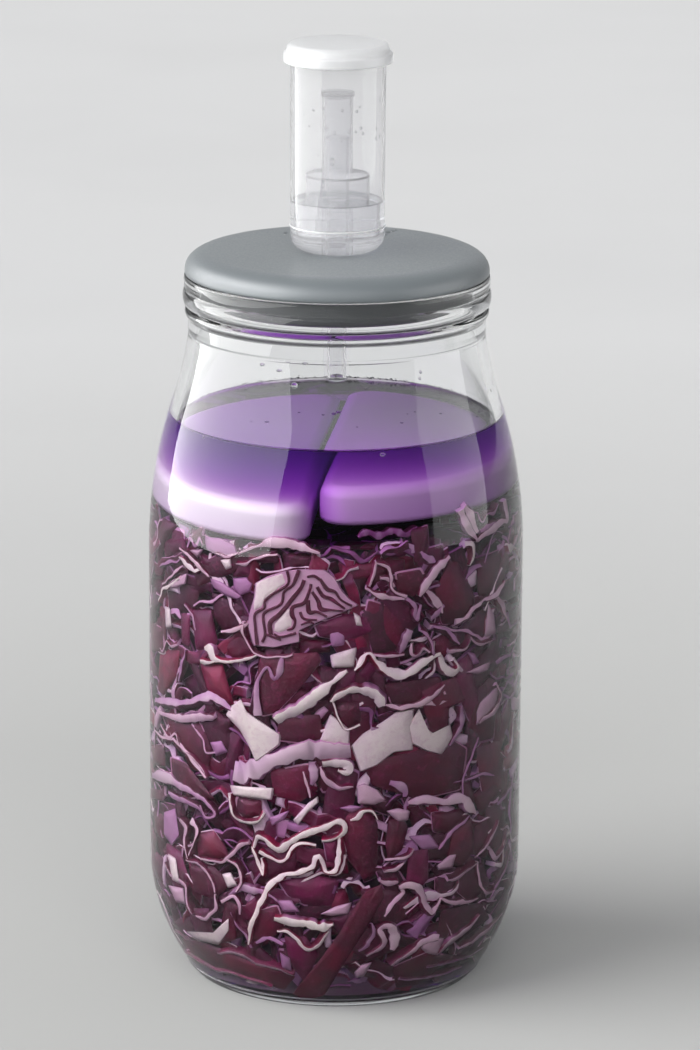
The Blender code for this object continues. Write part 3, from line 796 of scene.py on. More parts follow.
def weight(name, node, centre, side, tilt=0.0):
    """A half-moon weight: half of a thick disc with a well-rounded top edge."""
    half = 0.5 * WEIGHT_THICKNESS
    levels = []
    for turn in spread(-0.5 * math.pi, 0, 8):
        lift = WEIGHT_BOTTOM_EDGE * math.sin(turn)
        levels.append((WEIGHT_BOTTOM_EDGE * (1 - math.cos(turn)), WEIGHT_BOTTOM_EDGE - half + lift))
    for turn in spread(0, 0.5 * math.pi, 14):
        lift = WEIGHT_TOP_EDGE * math.sin(turn)
        levels.append((WEIGHT_TOP_EDGE * (1 - math.cos(turn)), half - WEIGHT_TOP_EDGE + lift))
    shape = bmesh.new()
    rings = []
    for inset, height in levels:
        rings.append([shape.verts.new((side * x, y, height)) for x, y in half_disc(inset)])
    for lower, upper in zip(rings, rings[1:]):
        for index in range(len(lower)):
            after = (index + 1) % len(lower)
            shape.faces.new((lower[index], lower[after], upper[after], upper[index]))
    for ring in (rings[0], rings[-1]):
        middle = shape.verts.new((side * 0.45 * WEIGHT_RADIUS, 0, ring[0].co.z))
        for index in range(len(ring)):
            shape.faces.new((ring[index], ring[(index + 1) % len(ring)], middle))
    bmesh.ops.recalc_face_normals(shape, faces=shape.faces)
    mesh = bpy.data.meshes.new(name)
    shape.to_mesh(mesh)
    shape.free()
    turn = Matrix.Rotation(WEIGHT_TURN, 4, "Z") @ Matrix.Rotation(tilt, 4, "X")
    mesh.transform(Matrix.Translation(centre) @ turn)
    mesh.shade_smooth()
    return add_piece(name, mesh, ["stoneware"], (node,))


# Cabbage

# Tones are a shade from dark to light, and how warm it is
WINE = (0.30, 0.80)
BURGUNDY = (0.55, 0.85)
RED = (0.90, 0.95)
MAGENTA = (0.70, 0.15)
PLUM = (0.35, 0.20)
DARK = (0.05, 0.50)
CREAM = (0.95, 0.95)
PINKISH = (0.70, 0.50)
LAVENDER = (0.45, 0.05)
VIOLET = (0.10, 0.00)
HEART = (0.62, 0.35)
HEART_LINE = (0.25, 0.35)

# The cut heart's outline and the leaf lines inside it, as columns and rows of the photograph
HEART_OUTLINE = (
    (253, 646), (247, 626), (250, 611), (254, 597), (255, 583), (268, 576), (282, 571.5), (299, 569),
    (325, 569.5), (335, 577), (342, 590), (350, 599), (359, 605), (344, 612), (327, 618.5), (309, 626),
    (296, 632), (286, 637), (300, 642), (273, 648),
)
HEART_STALK = (
    (256, 583), (268, 577), (283, 572.5), (287, 582), (274, 592), (264, 600), (262, 607), (254, 611),
    (253, 604), (255, 596),
)
HEART_WEDGE = (
    (273, 632), (274, 624), (281, 616), (287, 608), (291, 607), (290, 613), (293, 620), (292, 627),
    (286, 631), (279, 634),
)
HEART_LINES = (
    (
        (287, 571, 2), (288, 584, 2), (273, 594, 2), (265, 601, 2), (264, 608, 2), (255, 614, 2),
        (255, 626, 2), (257, 645, 3),
    ),
    (
        (299, 570, 3), (296, 578, 3), (292, 586, 2), (284, 592, 2), (281, 604, 2), (267, 611, 2),
        (263, 617, 2), (265, 634, 2), (262, 642, 2),
    ),
    (
        (304, 580, 3), (301, 588, 3), (293, 598, 3.5), (286, 607, 3.5), (279, 615, 4), (270, 623, 4),
        (271, 635, 4),
    ),
    (
        (311, 584, 2), (309, 592, 2), (304, 603, 3), (293, 607, 3), (292, 615, 4), (295, 621, 2),
        (293, 628, 2), (287, 630, 1),
    ),
    ((312, 592, 2), (318, 601, 3), (321, 609, 4), (331, 610, 1.5), (343, 611, 1)),
    ((308, 600, 3), (309, 612, 4), (317, 612, 2), (327, 617, 1.5)),
    ((317, 587, 2.5), (323, 596, 3), (331, 599, 3), (338, 604, 2), (345, 609, 1.5)),
    ((320, 579, 2), (327, 589, 3.5), (335, 592, 2), (341, 600, 1.5), (352, 606, 1.5)),
    ((307, 577, 1.5), (314, 576, 2), (320, 580, 2)),
    ((300, 612, 2), (304, 619, 2), (317, 620, 1)),
    ((301, 625, 1), (309, 622, 1.5), (314, 624, 1)),
    ((274, 634, 1.5), (281, 637, 1.5), (296, 633, 2)),
    ((265, 634, 1.5), (270, 636, 1.5), (281, 640, 1.5)),
)

# Leaf faces against the glass: tone, depth in millimetres, then the outline
LEAF_FACES = (
    # Left, under the weight
    (MAGENTA, 2.0, ((198, 551), (217, 559), (213, 574), (200, 566))),
    (MAGENTA, 2.2, ((231, 559), (254, 561), (253, 577), (233, 577))),
    (PLUM, 3.2, ((239, 550), (278, 550), (279, 563), (242, 563))),
    (WINE, 3.0, ((282, 552), (317, 554), (318, 569), (284, 571))),
    (MAGENTA, 2.6, ((163, 540), (184, 536), (190, 552), (166, 560))),
    (WINE, 3.4, ((162, 592), (186, 578), (200, 590), (196, 612), (165, 612))),
    (BURGUNDY, 1.6, ((160, 606), (166, 606), (168, 648), (159, 645))),
    (MAGENTA, 1.6, ((181, 613), (191, 613), (190, 647), (182, 643))),
    (MAGENTA, 1.0, ((192, 610), (212, 610), (218, 641), (214, 650), (196, 650))),
    (BURGUNDY, 2.4, ((214, 648), (238, 630), (254, 642), (262, 656), (236, 661))),
    (RED, 1.2, ((160, 652), (181, 648), (178, 676), (164, 696), (158, 690))),
    (WINE, 2.6, ((212, 592), (232, 600), (246, 608), (243, 626), (226, 632), (214, 618))),
    # Below the heart
    (MAGENTA, 1.4, ((313, 625), (346, 613), (371, 618), (379, 631), (344, 641), (318, 637))),
    (BURGUNDY, 2.8, ((300, 638), (330, 640), (330, 652), (300, 655))),
    (BURGUNDY, 0.8, ((259, 655), (318, 652), (322, 661), (300, 689), (276, 714), (262, 717), (257, 690))),
    (RED, 0.9, ((200, 663), (223, 664), (228, 682), (235, 706), (222, 702), (207, 690))),
    (WINE, 1.6, ((278, 716), (320, 714), (324, 738), (300, 744), (277, 741))),
    (BURGUNDY, 1.0, ((334, 706), (342, 700), (362, 701), (362, 722), (346, 731), (335, 722))),
    (WINE, 2.2, ((320, 664), (344, 672), (338, 700), (306, 704))),
    # Right, under the weight
    (WINE, 1.6, ((394, 572), (421, 567), (431, 585), (412, 597), (397, 592))),
    (WINE, 2.6, ((366, 566), (378, 560), (392, 566), (388, 592), (370, 588))),
    (BURGUNDY, 1.2, (
        (449, 561), (458, 562), (467, 577), (475, 598), (471, 618), (458, 626), (441, 625), (434, 590),
    )),
    (BURGUNDY, 2.4, ((367, 598), (386, 604), (410, 620), (404, 648), (372, 650), (360, 632))),
    (WINE, 2.4, ((410, 530), (428, 524), (430, 560), (414, 566))),
    (WINE, 2.0, ((474, 560), (500, 548), (506, 580), (494, 596), (478, 598))),
    (PLUM, 2.8, ((476, 612), (490, 606), (496, 640), (470, 644), (462, 630))),
    # Right, middle
    (WINE, 2.0, ((384, 684), (440, 676), (446, 700), (410, 706), (390, 704))),
    (BURGUNDY, 0.9, ((420, 690), (456, 676), (466, 700), (449, 708), (448, 732), (434, 734), (424, 712))),
    (WINE, 1.4, ((362, 762), (410, 752), (452, 738), (468, 748), (462, 790), (420, 800), (372, 786))),
    (WINE, 2.2, ((462, 690), (486, 684), (498, 700), (494, 740), (470, 746))),
    (BURGUNDY, 2.4, ((474, 748), (500, 740), (504, 790), (482, 800))),
    # Left, middle
    (BURGUNDY, 2.0, ((160, 712), (200, 720), (214, 752), (206, 770), (176, 748))),
    (WINE, 1.4, ((170, 756), (186, 762), (206, 788), (216, 800), (190, 796), (172, 780))),
    (WINE, 2.6, ((200, 716), (226, 714), (240, 748), (220, 764), (206, 744))),
    (BURGUNDY, 1.8, ((270, 770), (310, 762), (318, 790), (300, 802), (274, 796))),
    (BURGUNDY, 1.2, ((236, 796), (262, 800), (262, 816), (244, 820), (234, 810))),
    (WINE, 2.4, ((306, 756), (346, 752), (352, 786), (322, 794))),
    # Left, low
    (RED, 0.9, ((196, 832), (214, 829), (226, 846), (231, 858), (214, 860), (198, 857))),
    (WINE, 2.4, ((160, 800), (182, 806), (186, 836), (164, 836))),
    (MAGENTA, 1.8, ((166, 842), (182, 852), (190, 880), (184, 900), (168, 876))),
    (BURGUNDY, 1.6, ((190, 866), (214, 866), (232, 884), (214, 900), (194, 892))),
    (BURGUNDY, 1.2, ((226, 898), (238, 906), (236, 940), (218, 944), (222, 920))),
    (MAGENTA, 2.0, ((188, 908), (210, 908), (214, 936), (196, 934))),
    (BURGUNDY, 0.7, (
        (181, 938), (204, 942), (232, 952), (262, 964), (296, 976), (284, 990), (246, 978), (212, 966),
        (192, 954),
    )),
    (MAGENTA, 1.2, ((276, 880), (316, 874), (340, 880), (332, 906), (304, 906), (286, 896))),
    (PLUM, 2.2, ((262, 846), (300, 850), (296, 872), (266, 880))),
    (MAGENTA, 0.9, ((322, 838), (338, 838), (338, 866), (326, 862))),
    (BURGUNDY, 1.6, ((256, 910), (278, 904), (286, 926), (266, 944), (252, 938))),
    (MAGENTA, 1.0, ((284, 936), (306, 936), (318, 954), (306, 984), (290, 964))),
    (BURGUNDY, 0.5, (
        (292, 994), (318, 962), (340, 932), (352, 910), (366, 890), (382, 884), (384, 898), (368, 926),
        (346, 960), (324, 996), (306, 999),
    )),
    # Right, low
    (BURGUNDY, 1.0, (
        (344, 814), (356, 806), (370, 810), (378, 824), (377, 868), (364, 880), (348, 860), (342, 838),
    )),
    (BURGUNDY, 0.9, ((388, 820), (402, 816), (408, 828), (402, 850), (388, 861), (385, 844))),
    (MAGENTA, 1.1, ((408, 852), (428, 848), (429, 878), (420, 888), (406, 882))),
    (WINE, 1.2, ((430, 812), (462, 808), (468, 818), (450, 836), (432, 832))),
    (BURGUNDY, 1.4, ((452, 832), (472, 818), (474, 850), (462, 866), (446, 862))),
    (WINE, 1.8, ((460, 868), (482, 862), (490, 884), (470, 904), (456, 892))),
    (WINE, 2.2, ((434, 876), (456, 880), (452, 906), (434, 904))),
    (WINE, 1.8, ((360, 888), (400, 890), (414, 912), (394, 926), (368, 922))),
    (PLUM, 1.6, ((356, 928), (392, 924), (396, 950), (366, 962), (352, 950))),
    (WINE, 1.6, ((392, 966), (430, 950), (452, 956), (420, 984), (396, 988))),
    (WINE, 2.0, ((440, 910), (480, 902), (490, 918), (456, 944), (436, 936))),
    (WINE, 2.2, ((484, 806), (504, 800), (506, 850), (490, 862))),
)

# Thick white ribs: tone, depth in millimetres, then the outline
RIB_CHUNKS = (
    (LAVENDER, 1.2, ((205, 537), (221, 538), (236, 546), (238, 556), (231, 559), (221, 558), (206, 549))),
    (CREAM, 0.8, ((220, 560), (231, 557), (232, 568), (226, 570))),
    (PINKISH, 1.4, ((189, 550), (204, 549), (198, 558))),
    (PINKISH, 1.0, ((163, 590), (172, 580), (188, 573), (186, 584), (176, 588))),
    (CREAM, 0.7, ((165, 606), (170, 608), (172, 628), (166, 629))),
    (LAVENDER, 1.2, ((209, 577), (222, 582), (236, 592), (243, 597), (238, 600), (226, 596), (214, 588))),
    (LAVENDER, 1.8, ((233, 578), (247, 577), (253, 584), (250, 592), (240, 596), (234, 588))),
    (LAVENDER, 1.4, ((328, 632), (338, 628), (346, 634), (344, 645), (332, 647))),
    (CREAM, 0.8, ((330, 655), (357, 647), (354, 667), (332, 668))),
    (CREAM, 0.6, ((353, 612), (360, 616), (363, 627), (356, 626))),
    (CREAM, 0.3, (
        (230, 707), (241, 699), (247, 712), (281, 735), (280, 745), (256, 763), (250, 748), (240, 730),
        (226, 715),
    )),
    (CREAM, 0.8, ((330, 714), (342, 722), (350, 730), (349, 746), (334, 746), (319, 742))),
    (CREAM, 0.6, (
        (351, 746), (362, 734), (382, 722), (396, 712), (414, 708), (412, 728), (413, 750), (394, 752),
        (376, 766), (360, 772), (356, 760),
    )),
    (CREAM, 0.5, (
        (408, 726), (419, 708), (424, 726), (436, 736), (450, 724), (453, 738), (442, 755), (428, 752),
        (412, 744),
    )),
    (PINKISH, 0.9, ((476, 712), (480, 702), (499, 684), (496, 706), (476, 726))),
    (PINKISH, 0.7, ((488, 603), (494, 615), (496, 634), (484, 637))),
    (LAVENDER, 1.2, ((467, 652), (474, 653), (480, 663), (473, 665))),
    (PINKISH, 1.0, ((464, 673), (491, 661), (488, 670), (478, 674))),
    (PINKISH, 0.6, ((356, 786), (364, 783), (378, 790), (386, 800), (374, 805), (358, 804))),
    (LAVENDER, 1.0, ((338, 808), (350, 805), (364, 807), (352, 813))),
    (CREAM, 0.4, ((230, 785), (252, 787), (274, 788), (272, 800), (250, 798), (233, 795))),
    (CREAM, 0.8, ((293, 820), (308, 803), (318, 796), (319, 802), (308, 812), (298, 825))),
    (LAVENDER, 1.4, ((268, 818), (290, 810), (284, 820), (272, 826))),
    (CREAM, 0.5, ((222, 874), (231, 872), (238, 886), (228, 888))),
    (CREAM, 0.5, ((168, 853), (176, 858), (180, 884), (172, 880))),
    (PINKISH, 0.8, ((168, 885), (184, 888), (186, 905), (176, 902))),
    (LAVENDER, 1.2, ((164, 812), (176, 808), (180, 836), (172, 846), (164, 834))),
    (CREAM, 0.4, ((186, 931), (211, 939), (220, 926), (230, 917), (230, 930), (219, 945), (196, 940))),
    (PINKISH, 0.6, ((386, 811), (398, 808), (410, 811), (408, 820), (398, 822))),
    (LAVENDER, 1.2, ((408, 836), (430, 834), (440, 848), (422, 850))),
    (PINKISH, 1.0, ((436, 866), (450, 854), (458, 853), (452, 868), (438, 870))),
    (LAVENDER, 0.9, ((276, 900), (292, 900), (300, 912), (284, 912))),
    (PINKISH, 1.0, ((320, 914), (336, 906), (352, 902), (348, 914), (332, 916))),
    (LAVENDER, 0.9, ((280, 952), (290, 958), (292, 972), (282, 968))),
    (PINKISH, 0.6, ((420, 948), (428, 938), (444, 938), (438, 956), (428, 954))),
    (PINKISH, 1.0, ((354, 972), (362, 964), (372, 962), (364, 976), (356, 978))),
    (LAVENDER, 1.6, ((210, 742), (222, 740), (228, 752), (216, 756))),
)

# Cut edges that face the glass: tone, depth in millimetres, then columns, rows and breadths
CUT_EDGES = (
    # Left, under the weight
    (PINKISH, 0.9, (
        (239, 554, 2), (255, 546, 3), (266, 543, 7), (288, 543, 7), (303, 548, 6), (320, 554, 2),
    )),
    (PINKISH, 0.6, ((179, 549, 2), (188, 556, 3), (196, 564, 4), (202, 571, 3), (208, 577, 2))),
    (CREAM, 0.9, ((179, 557, 2), (188, 567, 5), (194, 572, 3), (201, 571, 3), (206, 577, 2))),
    (LAVENDER, 1.0, ((187, 546, 2), (190, 538, 3), (195, 546, 3), (199, 537, 2), (203, 545, 2))),
    (CREAM, 0.6, ((159, 602, 2), (162, 591, 3), (168, 586, 3), (178, 577, 2))),
    (PINKISH, 0.6, ((215, 552, 1.5), (225, 557, 3), (238, 556, 2))),
    (PINKISH, 0.8, ((236, 562, 1.5), (246, 563, 2.5), (252, 560, 1.5), (264, 558, 3), (278, 557, 1.5))),
    (LAVENDER, 1.6, ((160, 568, 1.5), (168, 562, 3), (176, 563, 2), (182, 556, 2))),
    (PINKISH, 1.0, ((162, 584, 2), (168, 578, 2), (176, 572, 3), (182, 568, 1.5))),
    (PINKISH, 0.5, ((221, 634, 3), (232, 632, 4), (240, 628, 4), (246, 622, 2))),
    (PINKISH, 0.6, (
        (243, 622, 2), (243, 634, 3), (249, 646, 2), (258, 655, 2.5), (272, 658, 2), (292, 655, 2),
    )),
    (CREAM, 0.4, ((204, 648, 4), (210, 650, 8), (215, 658, 5), (226, 661, 3), (240, 660, 3), (256, 654, 2))),
    (CREAM, 0.5, ((200, 660, 5), (208, 662, 4), (216, 661, 2))),
    (PINKISH, 1.2, ((156, 640, 2), (162, 652, 2), (166, 641, 2), (172, 646, 3), (176, 642, 2))),
    (LAVENDER, 1.4, ((186, 650, 1.5), (182, 664, 3), (178, 680, 2))),
    # Middle, left of the axis
    (LAVENDER, 0.5, (
        (281, 657, 3), (280, 668, 5), (275, 678, 4), (268, 667, 3), (259, 675, 3), (255, 690, 5),
        (258, 716, 6),
    )),
    (CREAM, 0.3, ((273, 719, 7), (284, 713, 8), (300, 706, 8), (314, 698, 8), (331, 684, 6), (347, 672, 3))),
    (LAVENDER, 0.6, (
        (155, 702, 5), (172, 705, 6), (190, 704, 5), (204, 699, 7), (213, 699, 6), (230, 712, 4),
    )),
    (PINKISH, 1.0, ((157, 712, 3), (172, 717, 5), (190, 718, 7), (206, 716, 6), (214, 714, 3))),
    (LAVENDER, 0.4, (
        (232, 772, 13), (244, 774, 14), (262, 766, 13), (285, 757, 12), (306, 750, 13), (330, 751, 13),
        (350, 750, 9),
    )),
    (PINKISH, 0.5, (
        (155, 731, 2), (162, 738, 3), (173, 741, 4), (186, 754, 4), (196, 768, 4), (204, 780, 2),
    )),
    (PINKISH, 0.7, (
        (160, 724, 2), (168, 738, 3), (176, 734, 2), (181, 748, 2), (196, 760, 3), (206, 778, 2),
    )),
    (LAVENDER, 0.8, ((312, 763, 6), (313, 776, 6), (309, 784, 3))),
    (CREAM, 0.7, ((322, 763, 5), (336, 762, 6), (346, 764, 7), (347, 772, 5), (338, 770, 2))),
    (PINKISH, 0.8, ((320, 768, 2), (330, 782, 5), (340, 787, 4), (352, 785, 2))),
    (PINKISH, 0.6, ((302, 772, 1.5), (308, 786, 2.5), (313, 797, 1.5))),
    # Right, under the weight
    (PINKISH, 0.8, ((462, 510, 5), (468, 524, 7), (477, 540, 4))),
    (PINKISH, 0.5, ((466, 505, 4), (473, 516, 8), (479, 531, 4))),
    (PINKISH, 0.7, ((478, 540, 4), (490, 531, 6), (502, 523, 5), (508, 519, 6), (505, 500, 5))),
    (LAVENDER, 1.0, ((481, 533, 3), (489, 526, 4), (498, 519, 2))),
    (LAVENDER, 1.4, ((478, 512, 1.5), (482, 522, 2), (487, 514, 2), (494, 512, 3), (498, 504, 1.5))),
    (VIOLET, 4.5, ((359, 538, 3), (368, 533, 5), (381, 536, 5), (394, 531, 5), (406, 535, 5), (417, 528, 4))),
    (VIOLET, 3.0, ((330, 550, 2), (349, 555, 3), (358, 561, 4), (368, 559, 3), (377, 552, 2))),
    (VIOLET, 3.0, ((378, 550, 4), (392, 553, 3), (404, 549, 4), (414, 556, 3))),
    (LAVENDER, 3.0, ((402, 540, 3), (412, 548, 6), (418, 552, 2))),
    (LAVENDER, 1.8, ((422, 552, 3), (430, 561, 5), (434, 565, 2))),
    (PINKISH, 0.8, ((377, 562, 3), (374, 573, 3), (368, 587, 2))),
    (PINKISH, 0.6, ((377, 562, 2), (388, 566, 3), (391, 577, 3), (392, 588, 2), (406, 597, 3))),
    (PINKISH, 0.9, ((366, 588, 2), (376, 593, 4), (389, 598, 4), (404, 600, 2))),
    (PINKISH, 0.9, ((380, 579, 2), (388, 580, 3), (396, 586, 2))),
    (PINKISH, 0.5, ((451, 557, 4), (442, 566, 6), (434, 576, 6), (426, 587, 7), (420, 596, 3))),
    (PINKISH, 0.8, ((424, 588, 4), (432, 597, 5), (440, 606, 5), (444, 612, 2))),
    (LAVENDER, 0.8, ((405, 600, 3), (413, 606, 4), (414, 615, 4), (419, 620, 3), (421, 606, 3))),
    (LAVENDER, 0.9, ((430, 617, 7), (437, 613, 5), (444, 606, 3))),
    (PINKISH, 0.5, (
        (506, 582, 2), (500, 592, 4), (493, 599, 4), (484, 602, 3), (474, 612, 4), (466, 620, 3),
        (457, 623, 5),
    )),
    (PINKISH, 0.8, ((497, 598, 3), (503, 605, 6), (507, 618, 2))),
    (CREAM, 0.9, ((465, 545, 5), (472, 545, 4), (473, 555, 4), (470, 566, 1.5))),
    (LAVENDER, 0.7, ((411, 630, 5), (405, 641, 7), (398, 653, 2))),
    (LAVENDER, 0.5, ((421, 628, 2), (430, 636, 3), (432, 648, 3), (434, 656, 2))),
    (PINKISH, 0.6, ((414, 644, 2), (414, 653, 3), (419, 653, 3), (424, 648, 3), (431, 651, 2))),
    (LAVENDER, 0.9, ((433, 629, 2), (445, 631, 3), (452, 638, 4), (459, 646, 2))),
    (PINKISH, 0.8, (
        (449, 650, 4), (462, 649, 3), (468, 642, 2), (470, 636, 2), (482, 643, 3), (493, 638, 2),
    )),
    (CREAM, 0.4, (
        (356, 672, 2), (364, 662, 4), (370, 656, 3), (377, 665, 5), (390, 674, 8), (402, 677, 8),
        (418, 668, 7), (430, 660, 5), (440, 655, 3),
    )),
    (CREAM, 0.6, ((438, 657, 4), (444, 667, 7), (453, 673, 7), (458, 668, 4), (454, 661, 3))),
    (PINKISH, 0.9, ((366, 655, 2), (384, 656, 3), (404, 655, 2))),
    (LAVENDER, 1.2, ((507, 537, 2), (512, 548, 3), (519, 560, 2))),
    (PINKISH, 0.9, ((514, 546, 3), (518, 534, 5), (520, 524, 3))),
    # Right, middle
    (CREAM, 0.4, ((331, 702, 4), (338, 694, 5), (350, 690, 5), (366, 690, 7), (378, 695, 8), (385, 706, 7))),
    (CREAM, 0.7, ((331, 703, 2), (334, 712, 2), (345, 730, 2), (360, 726, 2))),
    (PINKISH, 0.4, ((386, 707, 3), (402, 709, 4), (420, 704, 4), (434, 696, 4), (444, 684, 2))),
    (PINKISH, 0.7, ((422, 706, 3), (434, 704, 5), (446, 700, 4), (444, 692, 2))),
    (LAVENDER, 0.8, ((460, 706, 3), (462, 720, 5), (458, 732, 5), (450, 744, 2))),
    (PINKISH, 0.8, ((496, 686, 3), (501, 696, 3), (494, 712, 5), (480, 722, 3))),
    (LAVENDER, 1.4, ((480, 738, 1.5), (474, 756, 2.5), (466, 776, 2), (464, 796, 2))),
    (LAVENDER, 0.8, ((372, 728, 5), (384, 728, 4), (394, 722, 3))),
    (PINKISH, 0.6, (
        (410, 806, 3), (424, 801, 7), (444, 803, 6), (462, 799, 8), (470, 808, 7), (476, 813, 2),
    )),
    (LAVENDER, 1.4, ((390, 784, 4), (404, 788, 7), (408, 796, 3))),
    (LAVENDER, 1.6, ((466, 780, 2), (482, 776, 3), (494, 778, 2))),
    # Left, low
    (LAVENDER, 0.6, (
        (152, 776, 5), (166, 778, 9), (178, 785, 6), (192, 792, 5), (205, 801, 4), (215, 814, 3),
        (206, 818, 3), (200, 806, 2),
    )),
    (LAVENDER, 0.9, ((168, 792, 4), (180, 798, 5), (196, 806, 4), (206, 812, 2))),
    (CREAM, 0.5, ((230, 793, 3), (232, 806, 3), (237, 817, 3), (246, 821, 3), (257, 820, 3), (263, 812, 2))),
    (PINKISH, 0.7, ((180, 818, 4), (186, 828, 5), (184, 842, 3), (188, 858, 2))),
    (PINKISH, 0.5, ((190, 822, 6), (196, 830, 4), (194, 842, 2), (190, 856, 2))),
    (PINKISH, 0.5, (
        (200, 858, 2), (210, 860, 2.5), (222, 860, 2.5), (230, 854, 3), (240, 845, 4), (248, 841, 3),
    )),
    (PINKISH, 0.6, ((186, 858, 2), (200, 864, 3), (211, 878, 3), (215, 892, 2))),
    (PINKISH, 0.7, ((228, 858, 2), (238, 866, 3), (242, 882, 3), (236, 892, 2))),
    (CREAM, 0.3, (
        (252, 846, 3), (256, 836, 4), (266, 838, 4), (277, 849, 5), (290, 842, 5), (305, 834, 5),
        (326, 828, 5), (340, 823, 5), (343, 832, 4), (330, 838, 3), (322, 839, 3),
    )),
    (CREAM, 0.5, ((259, 851, 3), (270, 857, 3), (282, 862, 3), (292, 852, 3), (302, 845, 3), (316, 848, 2))),
    (CREAM, 0.5, ((252, 846, 2), (254, 858, 3), (264, 876, 3), (262, 858, 2))),
    (CREAM, 0.3, (
        (248, 944, 2), (252, 926, 4), (258, 910, 4), (264, 898, 5), (270, 886, 5), (284, 876, 5),
        (300, 874, 4), (312, 868, 4), (319, 858, 4), (324, 872, 3), (336, 872, 4), (341, 856, 4),
        (341, 838, 3),
    )),
    (LAVENDER, 1.2, ((226, 896, 2), (238, 888, 6), (254, 890, 6), (266, 894, 4), (276, 902, 2))),
    (CREAM, 0.4, ((274, 918, 4), (290, 921, 7), (306, 923, 6), (322, 928, 7), (334, 925, 2))),
    (CREAM, 0.5, ((276, 932, 2), (288, 932, 3), (297, 940, 3), (307, 949, 4), (318, 944, 3), (328, 931, 2))),
    (PINKISH, 0.4, (
        (183, 951, 3), (198, 960, 3), (215, 970, 3), (232, 972, 3), (248, 978, 2), (272, 986, 2),
    )),
    (PINKISH, 0.6, ((216, 952, 2), (236, 952, 4), (256, 962, 4), (276, 968, 3), (294, 974, 2))),
    (PINKISH, 0.8, ((222, 902, 3), (232, 897, 3), (238, 904, 3), (238, 914, 2))),
    (PINKISH, 1.0, ((165, 862, 2), (170, 874, 3), (186, 886, 4), (186, 900, 3), (192, 914, 3))),
    (PINKISH, 1.0, ((196, 916, 3), (206, 918, 3), (215, 906, 3), (214, 894, 2))),
    (LAVENDER, 1.4, ((154, 784, 3), (158, 800, 4), (157, 818, 3), (162, 838, 2))),
    (LAVENDER, 1.2, ((232, 912, 2), (236, 924, 3), (246, 934, 3), (252, 948, 3))),
    (LAVENDER, 1.4, ((256, 944, 3), (270, 940, 4), (282, 946, 3))),
    # Right, low
    (CREAM, 0.5, ((350, 822, 2), (358, 819, 4), (362, 812, 3), (372, 812, 2), (378, 820, 1.5))),
    (PINKISH, 0.5, ((385, 862, 2), (396, 860, 3), (408, 855, 3), (412, 848, 2))),
    (PINKISH, 0.6, ((384, 870, 3), (396, 868, 4), (404, 864, 2))),
    (PINKISH, 0.7, ((380, 880, 4), (390, 882, 5), (398, 881, 3))),
    (PINKISH, 0.5, (
        (400, 888, 3), (411, 886, 6), (420, 892, 6), (424, 904, 5), (431, 914, 5), (438, 908, 4),
        (442, 900, 2),
    )),
    (PINKISH, 0.8, ((441, 900, 2), (456, 902, 4), (470, 901, 3), (478, 898, 1.5))),
    (PINKISH, 0.7, ((448, 878, 3), (458, 876, 4), (468, 868, 3), (476, 862, 2))),
    (LAVENDER, 0.9, ((440, 850, 2), (450, 836, 4), (462, 824, 3), (470, 816, 2))),
    (PINKISH, 0.8, ((478, 858, 1.5), (486, 846, 3), (494, 832, 3), (498, 820, 2))),
    (PINKISH, 0.9, ((490, 848, 3), (496, 856, 5), (504, 846, 3), (506, 830, 2))),
    (PINKISH, 0.8, ((478, 862, 2), (480, 876, 3), (486, 890, 3), (496, 888, 2))),
    (PINKISH, 0.6, (
        (366, 956, 2), (376, 950, 4), (384, 942, 5), (378, 930, 4), (390, 926, 6), (396, 936, 7),
        (392, 950, 5),
    )),
    (LAVENDER, 0.9, ((358, 950, 2), (366, 944, 5), (372, 932, 4), (370, 924, 2))),
    (PINKISH, 0.5, ((391, 966, 4), (402, 958, 4), (414, 950, 5), (424, 942, 6), (438, 940, 5))),
    (PINKISH, 0.5, ((438, 953, 3), (448, 944, 6), (460, 934, 6), (470, 926, 4), (480, 914, 2))),
    (PINKISH, 0.6, ((459, 949, 2), (474, 940, 5), (488, 930, 5), (502, 914, 2))),
    (LAVENDER, 0.8, ((428, 966, 2), (448, 962, 3), (468, 956, 3), (484, 946, 2))),
    (LAVENDER, 0.9, ((400, 978, 2), (420, 978, 3), (442, 974, 3), (462, 966, 2))),
    (PINKISH, 0.8, ((386, 918, 2), (394, 904, 4), (404, 894, 3), (402, 888, 2))),
    (LAVENDER, 1.0, ((490, 900, 2), (498, 884, 3), (506, 866, 3), (510, 850, 2))),
)


def slope_of(radius_at, height):
    return (radius_at(height + 0.0005) - radius_at(height - 0.0005)) / 0.001


def surface_normal(point, radius_at):
    """The outward direction of a turned surface."""
    radial = Vector((point.x, point.y, 0)).normalized()
    return (radial - Vector((0, 0, slope_of(radius_at, point.z)))).normalized()


def meet(start, ray, radius_at):
    """Where a ray that comes from outside first meets a turned surface."""
    height = start.z + ray.z * (CAMERA_DISTANCE if start.xy.length > 1 else 0.004)
    along = ray.xy.dot(ray.xy)
    for _ in range(5):
        cross = start.xy.dot(ray.xy)
        room = cross**2 - along * (start.xy.dot(start.xy) - radius_at(height) ** 2)
        travel = (-cross - math.sqrt(max(room, 0.0))) / along
        height = start.z + travel * ray.z
    return start + ray * travel


def refract(ray, normal, ratio):
    facing = -normal.dot(ray)
    return ratio * ray + (ratio * facing - math.sqrt(max(1 - ratio**2 * (1 - facing**2), 0.0))) * normal


def line_of_sight(column, row):
    """Where the camera stands, and its direction to a column and row of the photograph."""
    view = camera_place()
    ray = Vector(((column - 0.5 * PHOTO_WIDTH) / FOCAL_PIXELS, (0.5 * PHOTO_HEIGHT - row) / FOCAL_PIXELS, -1))
    return view.translation, (view.to_3x3() @ ray).normalized()


